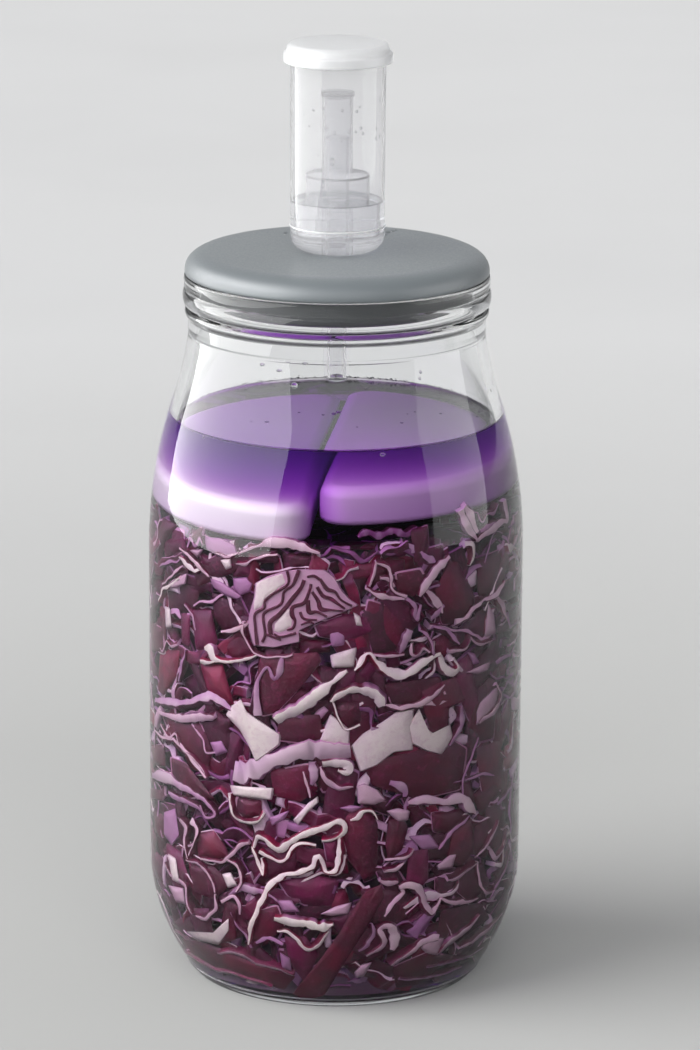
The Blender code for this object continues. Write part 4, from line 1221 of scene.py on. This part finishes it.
def through_wall(column, row, outside, inside):
    """Where a line of sight leaves a clear turned wall on its inside, and its direction in the wall."""
    start, ray = line_of_sight(column, row)
    point = meet(start, ray, outside)
    ray = refract(ray, surface_normal(point, outside), 1 / GLASS_INDEX)
    return meet(point, ray, inside), ray


def into_jar(column, row, depth):
    """The point this deep in the brine that shows at a column and row of the photograph."""
    point, ray = through_wall(column, row, outer_radius, inner_radius)
    normal = surface_normal(point, inner_radius)
    ray = refract(ray, normal, GLASS_INDEX / BRINE_INDEX)
    return point + ray * (depth / max(-normal.dot(ray), 0.4))


def on_level(column, row, height):
    """The point of a level surface, such as the brine's or the lid's, that shows at a column and row."""
    start, ray = line_of_sight(column, row)
    return start + ray * ((height - start.z) / ray.z)


def round_wall(arc, height):
    """A way to place points near the glass, round a spot that is arc radians from the front."""

    def place(across, up, depth):
        turn = arc + across / BODY_RADIUS
        level = min(max(height + up, HEAP_BOTTOM + 0.0015), HEAP_TOP)
        radius = inner_radius(level)
        point = Vector((radius * math.sin(turn), -radius * math.cos(turn), level))
        return point - surface_normal(point, inner_radius) * depth

    return place


def smooth_path(points, steps):
    """A curve through the points, with the same number of steps in each span."""
    last = len(points) - 1
    made = []
    for index in range(last):
        corners = [points[min(max(index + offset, 0), last)] for offset in (-1, 0, 1, 2)]
        for step in range(steps + (index == last - 1)):
            part = step / steps
            made.append(tuple(curve_value(values, part) for values in zip(*corners)))
    return made


def curve_value(values, part):
    """A Catmull-Rom curve between the middle two of four values."""
    before, start, end, after = values
    bend = 2 * before - 5 * start + 4 * end - after
    twist = -before + 3 * start - 3 * end + after
    return 0.5 * (2 * start + (end - before) * part + bend * part**2 + twist * part**3)


class Heap:
    """Collects cabbage pieces as one mesh: skin on the leaf's faces, flesh where it is cut."""

    SKIN = 0
    FLESH = 1

    def __init__(self, name):
        self.name = name
        self.points = []
        self.faces = []
        self.kinds = []
        self.marks = []

    def add_point(self, point, tone, rib=0.0):
        self.points.append(point)
        self.marks.append((tone[0], tone[1], rib, 1.0))

    def strip(self, line, normals, size, breadth, lean, tone, rib, curl=0.0):
        """A strip of leaf along a line. Size and breadth are half its thickness and half its width there."""
        first = len(self.points)
        last = len(line) - 1
        ring = 12
        for index, centre in enumerate(line):
            along = (line[min(index + 1, last)] - line[max(index - 1, 0)]).normalized()
            outward = normals[index]
            level = outward.cross(along).normalized()
            broad = (outward * math.cos(lean[index]) + level * math.sin(lean[index])).normalized()
            thin = broad.cross(along).normalized()
            half = breadth[index]
            deep = size[index]
            ease = min(0.00022, 0.35 * deep, 0.35 * half)
            reach = half * abs(math.cos(lean[index])) + deep * abs(math.sin(lean[index]))
            middle = centre - outward * reach
            side = [(half, -deep + ease), (half, deep - ease), (half - ease, deep), (0.45 * half, deep)]
            side += [(-0.45 * half, deep), (-half + ease, deep), (-half, deep - ease), (-half, -deep + ease)]
            side += [(-half + ease, -deep), (-0.45 * half, -deep), (0.45 * half, -deep), (half - ease, -deep)]
            for across, up in side:
                bent = up + curl * half * (abs(across / half) ** 2 - 0.5)
                self.add_point(middle + broad * across + thin * bent, tone, rib[index])
        for index in range(last):
            for corner in range(ring):
                after = (corner + 1) % ring
                low = first + index * ring
                self.faces.append((low + corner, low + after, low + ring + after, low + ring + corner))
                self.kinds.append(self.FLESH if corner in (0, 6) else self.SKIN)
        self.faces.append(tuple(first + corner for corner in range(ring)))
        self.faces.append(tuple(first + last * ring + corner for corner in range(ring)))
        self.kinds += [self.FLESH, self.FLESH]

    def plate(self, place, corners, depth, thick, tone, flesh, rim, sag, slant=None):
        """A flat piece with this outline, which lies against the glass. Its edge sags away from it.

        Where the outline faces the way of slant, its cut is slanted and shows pale flesh.
        """
        outline = []
        for index, corner in enumerate(corners):
            after = corners[(index + 1) % len(corners)]
            for part in (0.0, 0.08, 0.35, 0.65, 0.92):
                outline.append((lerp(corner[0], after[0], part), lerp(corner[1], after[1], part)))
        outline = [ease_corner(outline, index) for index in range(len(outline))]
        middle = [sum(values) / len(outline) for values in zip(*outline)]
        extent = sum(math.dist(point, middle) for point in outline) / len(outline)
        inset = 1 - rim / extent
        pale = []
        for index, point in enumerate(outline):
            after = outline[(index + 1) % len(outline)]
            away = (0.5 * (point[0] + after[0]) - middle[0], 0.5 * (point[1] + after[1]) - middle[1])
            slanted = slant is not None and away[0] * slant[0] + away[1] * slant[1] > 0.35 * extent
            pale.append(flesh or slanted)
        rings = [(0.95, depth + thick + sag), (1.0, depth + 0.35 * thick + sag), (inset, depth + 0.9 * sag)]
        rings += [(0.66 * inset, depth + 0.3 * sag), (0.33 * inset, depth + 0.08 * sag)]
        count = len(outline)
        first = len(self.points)
        for scale, deep in rings:
            for point in outline:
                across = lerp(middle[0], point[0], scale)
                up = lerp(middle[1], point[1], scale)
                self.add_point(place(across, up, deep), tone)
        self.add_point(place(*middle, depth + thick + sag), tone)
        self.add_point(place(*middle, depth), tone)
        for level in range(len(rings) - 1):
            for index in range(count):
                after = (index + 1) % count
                low = first + level * count
                self.faces.append((low + index, low + after, low + count + after, low + count + index))
                self.kinds.append(self.FLESH if flesh or (level <= 1 and pale[index]) else self.SKIN)
        inner = first + (len(rings) - 1) * count
        back = first + len(rings) * count
        for index in range(count):
            after = (index + 1) % count
            self.faces.append((first + after, first + index, back))
            self.faces.append((inner + index, inner + after, back + 1))
            self.kinds += [self.SKIN, self.FLESH if flesh else self.SKIN]

    def finish(self, replaces=()):
        mesh = bpy.data.meshes.new(self.name)
        mesh.from_pydata(self.points, [], self.faces)
        mark = mesh.attributes.new("shred", "FLOAT_COLOR", "POINT")
        mark.data.foreach_set("color", [value for values in self.marks for value in values])
        mesh.polygons.foreach_set("material_index", self.kinds)
        shape = bmesh.new()
        shape.from_mesh(mesh)
        bmesh.ops.recalc_face_normals(shape, faces=shape.faces)
        shape.to_mesh(mesh)
        shape.free()
        mesh.shade_smooth()
        mesh.set_sharp_from_angle(angle=math.radians(48))
        return add_piece(self.name, mesh, ["skin", "flesh"], replaces)


def ease_corner(outline, index):
    """A point of a closed outline, drawn a little towards its neighbours."""
    before = outline[index - 1]
    here = outline[index]
    after = outline[(index + 1) % len(outline)]
    return tuple(0.5 * here[axis] + 0.25 * before[axis] + 0.25 * after[axis] for axis in (0, 1))


# Three places in the noise, far apart, that move a point along each axis
RUFFLE_PLACES = (Vector((0.0, 0.0, 0.0)), Vector((17.3, 5.7, 9.1)), Vector((-8.6, 23.4, -13.9)))


def ruffled(point):
    """The point, moved a little, so that a smooth path becomes a crinkled one."""
    return point + 0.0007 * Vector([noise.noise(point * 230 + place) for place in RUFFLE_PLACES])


def edge_strip(heap, place, path, unit, depth, tone, lean, breadth=0.0042, steps=5, level=False):
    """A shred whose cut edge faces the glass, or up if it lies level.

    A point of the path is how far across and up it is, and how broad the edge is there.
    """
    curve = smooth_path(path, steps)
    line = [ruffled(place(across, up, depth)) for across, up, _ in curve]
    normals = [UPWARD if level else surface_normal(point, inner_radius) for point in line]
    swell = [1 + 0.5 * noise.noise(point * 420) for point in line]
    size = [max(EDGE_SHARE * unit * path_point[2] * more, 0.0002) for path_point, more in zip(curve, swell)]
    count = len(curve)
    leans = [lerp(lean[0], lean[1], index / (count - 1)) for index in range(count)]
    ribs = [min(max((half - 0.0011) / 0.0010, 0.0), 1.0) for half in size]
    heap.strip(line, normals, size, [0.5 * breadth] * count, leans, tone, ribs)


def heart_slice(heap):
    """The cut heart: a pale plate, crossed by the dark lines where its leaves lie against each other."""
    heap.plate(into_jar, HEART_OUTLINE, 0.0009, 0.006, HEART, True, 1.0, 0.0004)
    for outline in (HEART_STALK, HEART_WEDGE):
        heap.plate(into_jar, outline, 0.0006, 0.002, CREAM, True, 1.5, 0.0003)
    for path in HEART_LINES:
        curve = smooth_path(path, 5)
        line = [into_jar(column, row, 0.0005) for column, row, _ in curve]
        normals = [surface_normal(point, inner_radius) for point in line]
        size = [0.0004] * len(curve)
        breadth = [0.5 * (broad + 0.7) * PIXEL for _, _, broad in curve]
        lean = [0.5 * math.pi] * len(curve)
        heap.strip(line, normals, size, breadth, lean, HEART_LINE, [0.0] * len(curve))


def photographed_pieces():
    """The pieces that the photograph shows, each against the glass where it shows it."""
    draw = random.Random(5)
    heap = Heap("cut_heart")
    heart_slice(heap)
    heap.finish(("cabbage_heap",))
    heap = Heap("leaf_faces")
    for tone, depth, outline in LEAF_FACES:
        shade = (tone[0] + draw.uniform(-0.06, 0.06), tone[1])
        turn = draw.uniform(0, 2 * math.pi)
        slant = draw.choice((None, (math.cos(turn), math.sin(turn))))
        rim = draw.uniform(0.8, 2.2)
        sag = draw.uniform(0.0004, 0.0020)
        heap.plate(into_jar, outline, 0.001 * depth, 0.0012, shade, False, rim, sag, slant)
    heap.finish()
    heap = Heap("white_ribs")
    for tone, depth, outline in RIB_CHUNKS:
        heap.plate(into_jar, outline, 0.001 * depth, 0.0030, tone, True, 1.4, 0.0006)
    heap.finish()
    heap = Heap("cut_edges")
    for tone, depth, path in CUT_EDGES:
        lean = (draw.uniform(-0.5, 0.5), draw.uniform(-0.5, 0.5))
        edge_strip(heap, into_jar, path, PIXEL, 0.001 * depth, tone, lean)
    heap.finish()


def wander(draw, length, base, knob):
    """A random path through the origin, wavy, with a thicker knob somewhere along it."""
    heading = draw.gauss(0.0, 0.6)
    count = max(4, int(length / 0.006))
    bend = draw.uniform(-0.9, 0.9)
    knob_at = draw.uniform(-0.2, 1.2)
    points = []
    across = -0.5 * length * math.cos(heading)
    up = -0.5 * length * math.sin(heading)
    for index in range(count + 1):
        part = index / count
        swell = knob * math.exp(-(((part - knob_at) / 0.16) ** 2))
        points.append((across, up, base * draw.uniform(0.75, 1.25) + swell))
        turn = heading + bend * (part - 0.5) + draw.gauss(0.0, 0.42)
        across += length / count * math.cos(turn)
        up += length / count * math.sin(turn)
    return points


# Outlines of the random leaf faces and ribs, in half lengths and half breadths
FACE_PLAN = ((-1, 1), (0.1, 1.1), (1, 0.9), (1, -1), (-0.2, -0.9), (-0.9, -1))
RIB_PLAN = ((-1, 0.9), (0, 1.2), (1, 0.8), (1.1, -0.8), (0, -0.7), (-0.9, -1))


def uneven_outline(draw, plan, long, wide, least, turn):
    """The plan at this size, turned, with its corners moved a little. Least is the smallest share of wide."""
    corners = []
    for around, reach in plan:
        across = around * long * draw.uniform(0.8, 1.15)
        up = reach * wide * draw.uniform(least, 1.2)
        turned = across * math.cos(turn) - up * math.sin(turn)
        corners.append((turned, across * math.sin(turn) + up * math.cos(turn)))
    return corners


def random_piece(heaps, draw, arc, height, depth):
    """One piece of the heap: a cut edge, a leaf's face or a white rib."""
    faces, ribs, edges = heaps
    place = round_wall(arc, height)
    kind = draw.random()
    if kind < 0.34:
        tone = draw.choice((WINE, WINE, BURGUNDY, RED, MAGENTA, PLUM, DARK, DARK))
        turn = draw.uniform(0, math.pi)
        long = draw.uniform(0.006, 0.015)
        wide = draw.uniform(0.003, 0.006)
        corners = uneven_outline(draw, FACE_PLAN, long, wide, 0.75, turn)
        slant = draw.choice((None, (math.cos(turn), math.sin(turn)), (-math.sin(turn), math.cos(turn))))
        rim = draw.uniform(0.0003, 0.0009)
        faces.plate(place, corners, depth, 0.0012, tone, False, rim, draw.uniform(0.0005, 0.0030), slant)
    elif kind < 0.42:
        tone = draw.choice((CREAM, CREAM, PINKISH, LAVENDER))
        turn = draw.uniform(0, math.pi)
        long = draw.uniform(0.003, 0.008)
        wide = draw.uniform(0.0015, 0.0032)
        corners = uneven_outline(draw, RIB_PLAN, long, wide, 0.8, turn)
        ribs.plate(place, corners, depth, 0.0030, tone, True, 0.0005, 0.0006)
    else:
        tone = draw.choice((CREAM, CREAM, PINKISH, PINKISH, LAVENDER, VIOLET))
        length = draw.uniform(0.012, 0.040)
        base = draw.uniform(0.0006, 0.0013)
        path = wander(draw, length, base, draw.choice((0, 0, 0.0012, 0.002)))
        start = draw.choice((draw.uniform(-0.5, 0.5), draw.uniform(0.6, 1.5)))
        lean = (start, start + draw.uniform(-0.7, 0.7))
        edge_strip(edges, place, path, 1.0, depth, tone, lean, draw.uniform(0.003, 0.007), 4)


def random_layer(name, count, seed, depths, arcs):
    """Pieces spread evenly up the wall, and round it between two arcs from the front, to either side."""
    draw = random.Random(seed)
    heaps = [Heap(name + kind) for kind in ("_faces", "_ribs", "_edges")]
    for index in range(count):
        height = lerp(HEAP_BOTTOM + 0.002, HEAP_TOP - 0.002, (index + 0.5) / count)
        arc = index * GOLDEN_TURN
        arc = (arc + math.pi) % (2 * math.pi) - math.pi
        if arcs[0] <= abs(arc) <= arcs[1]:
            random_piece(heaps, draw, arc, height + draw.uniform(-0.003, 0.003), draw.uniform(*depths))
    for heap in heaps:
        heap.finish()


def level_place(x, y, height):
    """A way to place points of a piece that lies level round a spot."""
    return lambda across, up, depth: Vector((x + across, y + up, height - depth))


def level_layer(count, seed, reach_limit):
    """Loose shreds lying on the heap, under the weights."""
    draw = random.Random(seed)
    faces = Heap("top_shreds_faces")
    edges = Heap("top_shreds_edges")
    for index in range(count):
        reach = reach_limit * math.sqrt((index + 0.5) / count)
        arc = index * GOLDEN_TURN
        height = HEAP_TOP - draw.uniform(0.0, 0.0035)
        place = level_place(reach * math.cos(arc), reach * math.sin(arc), height)
        if index % 3 == 0:
            long = draw.uniform(0.005, 0.011)
            corners = []
            for side in range(6):
                turn = 2 * math.pi * side / 6 + arc
                corners.append((long * draw.uniform(0.6, 1.1) * math.cos(turn), 0.6 * long * math.sin(turn)))
            tone = draw.choice((WINE, BURGUNDY, MAGENTA, PLUM))
            faces.plate(place, corners, 0.0, 0.0010, tone, False, 0.0004, draw.uniform(0.0005, 0.0020))
        else:
            length = draw.uniform(0.014, 0.030)
            base = draw.uniform(0.0006, 0.0011)
            path = wander(draw, length, base, draw.choice((0, 0.0010)))
            tone = draw.choice((VIOLET, VIOLET, LAVENDER, PINKISH))
            lean = draw.uniform(-0.8, 0.8)
            edge_strip(edges, place, path, 1.0, 0.0, tone, (lean, -lean), draw.uniform(0.003, 0.005), 4, True)
    faces.finish()
    edges.finish()


def core_radius(height):
    """The core stays behind the shreds, and comes closer to the glass at the heel."""
    return inner_radius(height) - lerp(0.0045, 0.0125, min((height - HEAP_BOTTOM) / 0.022, 1.0))


def heap_core():
    """The inside of the heap, with a lumpy surface, in a near-black finish that is painted shade."""
    profile = [(0.0, HEAP_TOP - 0.005)]
    profile += along_wall(core_radius, HEAP_TOP - 0.005, HEAP_BOTTOM + 0.0006, 64)
    profile += [(0.0, HEAP_BOTTOM + 0.0006)]
    mesh = lathe_mesh("shaded_heap_inside", profile, HEAP_SIDES)
    for vertex in mesh.vertices:
        lump = noise.noise(vertex.co * 90) + 0.5 * noise.noise(vertex.co * 260)
        push = Vector((vertex.co.x, vertex.co.y, 0)).normalized() if vertex.co.xy.length > 1e-5 else Vector()
        vertex.co += push * lump * 0.0022
    return add_piece("shaded_heap_inside", mesh, ["inside"])


def cabbage():
    heap_core()
    photographed_pieces()
    random_layer("outer_shreds", 560, 37, (0.0004, 0.0022), (FRONT_ARC, math.pi))
    random_layer("front_shreds", 620, 53, (0.0020, 0.0034), (0.0, FRONT_ARC))
    random_layer("middle_shreds", 420, 23, (0.0034, 0.0054), (0.0, math.pi))
    random_layer("deep_shreds", 300, 11, (0.0062, 0.0090), (0.0, math.pi))
    level_layer(90, 41, 0.056)


# Drops and bubbles

# Drops inside the glass over the brine, as column, row, half width and half height in pixels
GLASS_DROPS = (
    (262.2, 364.7, 2.6, 1.5), (279.4, 370.8, 3.0, 1.4), (294.3, 385.5, 3.6, 3.4), (288.0, 362.5, 2.2, 1.0),
    (305.0, 363.5, 2.8, 1.6), (419.7, 378.5, 1.4, 1.6), (492.8, 383.0, 1.6, 1.6), (491.0, 390.5, 1.6, 1.6),
    (179.5, 422.0, 2.2, 3.0), (203.6, 437.0, 2.0, 1.6), (184.0, 353.0, 1.2, 1.2), (420.5, 372.0, 1.4, 1.8),
    (193.0, 431.0, 1.4, 1.4), (465.0, 436.5, 1.8, 1.4), (382.5, 454.5, 2.6, 1.8),
)
# Bubbles on the brine, in the same way
SURFACE_BUBBLES = (
    (267.3, 421.7, 2.4, 2.6), (323.0, 414.6, 1.6, 2.2), (334.0, 413.4, 2.6, 1.8), (338.5, 411.6, 3.0, 1.4),
    (366.0, 388.0, 1.8, 3.2), (401.4, 422.6, 1.8, 1.4), (441.0, 413.0, 1.6, 2.2), (415.0, 411.4, 1.2, 1.0),
    (477.0, 416.7, 1.6, 1.8), (481.0, 410.8, 1.6, 1.8), (474.5, 414.5, 1.0, 1.2), (252.0, 421.5, 1.2, 1.2),
    (292.0, 449.0, 1.6, 1.0), (407.5, 413.5, 1.0, 1.0), (357.0, 427.0, 1.2, 0.8), (299.0, 412.0, 1.4, 1.6),
)
# Condensation inside the airlock's cup, in the same way
CUP_DROPS = (
    (313.5, 109.6, 1.8, 1.8), (323.2, 108.5, 1.8, 1.6), (342.5, 110.4, 1.6, 1.8), (295.7, 124.0, 1.6, 2.2),
    (308.9, 126.3, 1.4, 1.2), (327.2, 128.6, 2.0, 1.8), (334.7, 132.9, 1.6, 2.2), (349.0, 131.8, 1.6, 2.0),
    (356.0, 132.0, 1.2, 1.4), (361.0, 128.3, 1.6, 1.6), (363.4, 133.4, 1.4, 1.6), (341.6, 140.0, 1.6, 2.6),
    (332.4, 162.0, 2.2, 4.4), (380.6, 99.9, 1.2, 2.2), (376.6, 128.6, 1.0, 1.6), (376.6, 138.3, 1.2, 2.0),
    (322.6, 184.8, 2.0, 4.0), (313.8, 169.0, 1.2, 1.2), (318.0, 155.5, 1.0, 1.2), (357.0, 111.5, 1.4, 1.6),
    (360.0, 107.0, 1.0, 1.0), (303.5, 114.5, 1.0, 1.4), (350.0, 103.0, 1.2, 1.6), (380.0, 136.5, 1.2, 1.4),
)
# Drips on the lid beside the cup, in the same way
LID_DRIPS = (
    (285.6, 233.0, 2.4, 1.2), (388.0, 232.5, 3.0, 1.4), (392.8, 231.2, 2.2, 1.0), (386.0, 235.0, 1.8, 0.8),
    (396.0, 230.4, 1.4, 0.8),
)


class Beads:
    """Collects small domes of water as one mesh. A share of their height sinks into what carries them."""

    LEVELS = 5
    SIDES = 14
    SINK = 0.12

    def __init__(self, name):
        self.name = name
        self.shape = bmesh.new()

    def add(self, point, outward, upward, wide, tall, proud):
        """A dome that stands proud of a surface."""
        sideways = upward.cross(outward).normalized()
        upright = outward.cross(sideways).normalized()
        rings = []
        for level in range(self.LEVELS):
            lift = 0.5 * math.pi * level / self.LEVELS
            ring = []
            for step in range(self.SIDES):
                turn = 2 * math.pi * step / self.SIDES
                flat = sideways * wide * math.cos(turn) + upright * tall * math.sin(turn)
                rise = proud * math.sin(lift) - self.SINK * proud
                ring.append(self.shape.verts.new(point + flat * math.cos(lift) + outward * rise))
            rings.append(ring)
        top = self.shape.verts.new(point + outward * (1 - self.SINK) * proud)
        under = self.shape.verts.new(point - outward * self.SINK * proud)
        for lower, upper in zip(rings, rings[1:]):
            for step in range(self.SIDES):
                after = (step + 1) % self.SIDES
                self.shape.faces.new((lower[step], lower[after], upper[after], upper[step]))
        for step in range(self.SIDES):
            after = (step + 1) % self.SIDES
            self.shape.faces.new((rings[-1][step], rings[-1][after], top))
            self.shape.faces.new((rings[0][after], rings[0][step], under))

    def finish(self, finish):
        bmesh.ops.recalc_face_normals(self.shape, faces=self.shape.faces)
        mesh = bpy.data.meshes.new(self.name)
        self.shape.to_mesh(mesh)
        self.shape.free()
        mesh.shade_smooth()
        return add_piece(self.name, mesh, [finish])


def cup_outside(height):
    return CUP_RADIUS


def cup_inside(height):
    return CUP_RADIUS - CUP_WALL


def wall_drops(name, spots, outside, inside):
    """Drops on the inside of a clear turned wall."""
    beads = Beads(name)
    for column, row, wide, tall in spots:
        point = through_wall(column, row, outside, inside)[0]
        outward = -surface_normal(point, inside)
        beads.add(point, outward, UPWARD, wide * PIXEL, tall * PIXEL, 0.7 * wide * PIXEL)
    beads.finish("drop")


def drops():
    """Drops where the photograph shows them, each on the wall, lid or brine that carries it."""
    wall_drops("drops_in_jar", GLASS_DROPS, outer_radius, inner_radius)
    beads = Beads("bubbles_on_brine")
    for column, row, wide, tall in SURFACE_BUBBLES:
        point = on_level(column, row, BRINE_LEVEL)
        deep = min(tall / math.sin(CAMERA_PITCH), 1.5 * wide)
        beads.add(point, UPWARD, BACKWARD, wide * PIXEL, deep * PIXEL, 0.6 * wide * PIXEL)
    beads.finish("drop")
    wall_drops("drops_in_airlock", CUP_DROPS, cup_outside, cup_inside)
    beads = Beads("drips_on_lid")
    for column, row, wide, tall in LID_DRIPS:
        point = on_level(column, row, LID_TOP)
        deep = tall / math.sin(CAMERA_PITCH)
        beads.add(point, UPWARD, BACKWARD, wide * PIXEL, deep * PIXEL, 0.5 * wide * PIXEL)
    tip_size = STEM_TIP_RADIUS - 0.0004
    beads.add(Vector((0, 0, STEM_TIP)), -UPWARD, BACKWARD, tip_size, tip_size, 0.0020)
    beads.finish("drop")


def tide_line(count, seed):
    """Tiny bubbles and drops that cling to the glass at the brine's edge, most of them at the back."""
    draw = random.Random(seed)
    beads = Beads("tide_line")
    for _ in range(count):
        arc = draw.gauss(0.5 * math.pi, 0.8)
        size = draw.uniform(0.00015, 0.00042)
        height = BRINE_LEVEL + 0.0008 + abs(draw.gauss(0.0, 0.0004))
        radius = inner_radius(height)
        point = Vector((radius * math.cos(arc), radius * math.sin(arc), height))
        beads.add(point, -surface_normal(point, inner_radius), UPWARD, 1.3 * size, size, 0.8 * size)
    beads.finish("drop")


# Stage, light and camera


def stage():
    mesh = bpy.data.meshes.new("floor")
    near = [(-FLOOR_SIDE, -FLOOR_NEAR, 0), (FLOOR_SIDE, -FLOOR_NEAR, 0)]
    far = [(FLOOR_SIDE, FLOOR_FAR, 0), (-FLOOR_SIDE, FLOOR_FAR, 0)]
    mesh.from_pydata(near + far, [], [(0, 1, 2, 3)])
    floor = bpy.data.objects.new("floor", mesh)
    mesh.materials.append(FINISH["floor"])
    bpy.context.scene.collection.objects.link(floor)


def window(name, azimuth, distance, width, height, power):
    """A bright pane that shows only in reflections. Azimuth 0 is at the camera, and 90 is on the right."""
    data = bpy.data.lights.new(name, "AREA")
    data.shape = "RECTANGLE"
    data.size = width
    data.size_y = height
    data.energy = power
    lamp = bpy.data.objects.new(name, data)
    turn = math.radians(azimuth)
    lamp.location = (distance * math.sin(turn), -distance * math.cos(turn), 0.5 * height)
    towards_jar = Vector((0, 0, WINDOW_AIM)) - lamp.location
    lamp.rotation_euler = towards_jar.to_track_quat("-Z", "Y").to_euler()
    lamp.visible_diffuse = False
    lamp.visible_camera = False
    lamp.visible_transmission = False
    bpy.context.scene.collection.objects.link(lamp)


def soft_sun(name, azimuth, elevation, spread_angle, energy):
    """A very soft sun, so that the floor is as light far away as close by. All of it reaches behind glass."""
    data = bpy.data.lights.new(name, "SUN")
    data.energy = energy
    data.angle = math.radians(spread_angle)
    data.cycles.use_multiple_importance_sampling = False
    lamp = bpy.data.objects.new(name, data)
    turn = math.radians(azimuth)
    rise = math.radians(elevation)
    from_sun = -Vector((math.sin(turn) * math.cos(rise), -math.cos(turn) * math.cos(rise), math.sin(rise)))
    lamp.rotation_euler = from_sun.to_track_quat("-Z", "Y").to_euler()
    bpy.context.scene.collection.objects.link(lamp)


def lights():
    window("window_left", azimuth=-82, distance=0.70, width=1.60, height=0.85, power=31.0)
    window("window_right", azimuth=83, distance=1.1, width=0.98, height=0.90, power=8.0)
    soft_sun("key", azimuth=-74, elevation=42, spread_angle=50, energy=3.1)
    soft_sun("fill", azimuth=2, elevation=30, spread_angle=60, energy=1.52)


def room():
    """A pale room all round, darkest at the height of the floor and lightest a little above it."""
    world = bpy.data.worlds.new("soft_room")
    world.use_nodes = True
    tree = world.node_tree
    place = tree.nodes.new("ShaderNodeTexCoord")
    parts = tree.nodes.new("ShaderNodeSeparateXYZ")
    ramp = tree.nodes.new("ShaderNodeValToRGB")
    low, high = ramp.color_ramp.elements
    low.position = 0.0
    low.color = (*ROOM_LOW, 1.0)
    high.position = 0.8
    high.color = (*ROOM_HIGH, 1.0)
    ramp.color_ramp.elements.new(0.22).color = (*ROOM_WALL, 1.0)
    tree.links.new(place.outputs["Generated"], parts.inputs["Vector"])
    tree.links.new(parts.outputs["Z"], ramp.inputs["Fac"])
    tree.links.new(ramp.outputs["Color"], tree.nodes["Background"].inputs["Color"])
    bpy.context.scene.world = world


def camera_place():
    """Where the camera stands and how it is turned."""
    aim = Vector(((0.5 * PHOTO_WIDTH - AXIS_COLUMN) / SCALE, 0.0, AIM_HEIGHT))
    back = Vector((0.0, -math.cos(CAMERA_PITCH), math.sin(CAMERA_PITCH)))
    turn = Matrix.Rotation(0.5 * math.pi - CAMERA_PITCH, 4, "X") @ Matrix.Rotation(CAMERA_ROLL, 4, "Z")
    return Matrix.Translation(aim + back * CAMERA_DISTANCE) @ turn


def camera():
    data = bpy.data.cameras.new("camera")
    data.sensor_fit = "AUTO"
    data.sensor_width = SENSOR_WIDTH
    data.lens = FOCAL_PIXELS / PHOTO_HEIGHT * SENSOR_WIDTH
    data.clip_start = 0.05
    data.clip_end = 30.0
    eye = bpy.data.objects.new("camera", data)
    eye.matrix_world = camera_place()
    bpy.context.scene.collection.objects.link(eye)
    bpy.context.scene.camera = eye


def light_paths():
    """Enough bounces for nested clear walls. Lamps reach through glass by its shadows, not by caustics."""
    scene = bpy.context.scene
    scene.view_settings.view_transform = "Standard"
    scene.cycles.max_bounces = CLEAR_BOUNCES
    scene.cycles.transmission_bounces = CLEAR_BOUNCES
    scene.cycles.transparent_max_bounces = CLEAR_BOUNCES
    scene.cycles.diffuse_bounces = 4
    scene.cycles.glossy_bounces = 6
    scene.cycles.caustics_refractive = False
    scene.cycles.caustics_reflective = False


camera()
glass_jar()
brine()
brine_sheen()
lid()
airlock_cup()
cup_ring()
airlock_bell()
airlock_pool()
airlock_cap()
weight("half_moon_left", "weight_left", LEFT_WEIGHT_CENTRE, -1, LEFT_WEIGHT_TILT)
weight("half_moon_right", "weight_right", RIGHT_WEIGHT_CENTRE, 1)
cabbage()
drops()
tide_line(230, 3)
stage()
lights()
room()
light_paths()
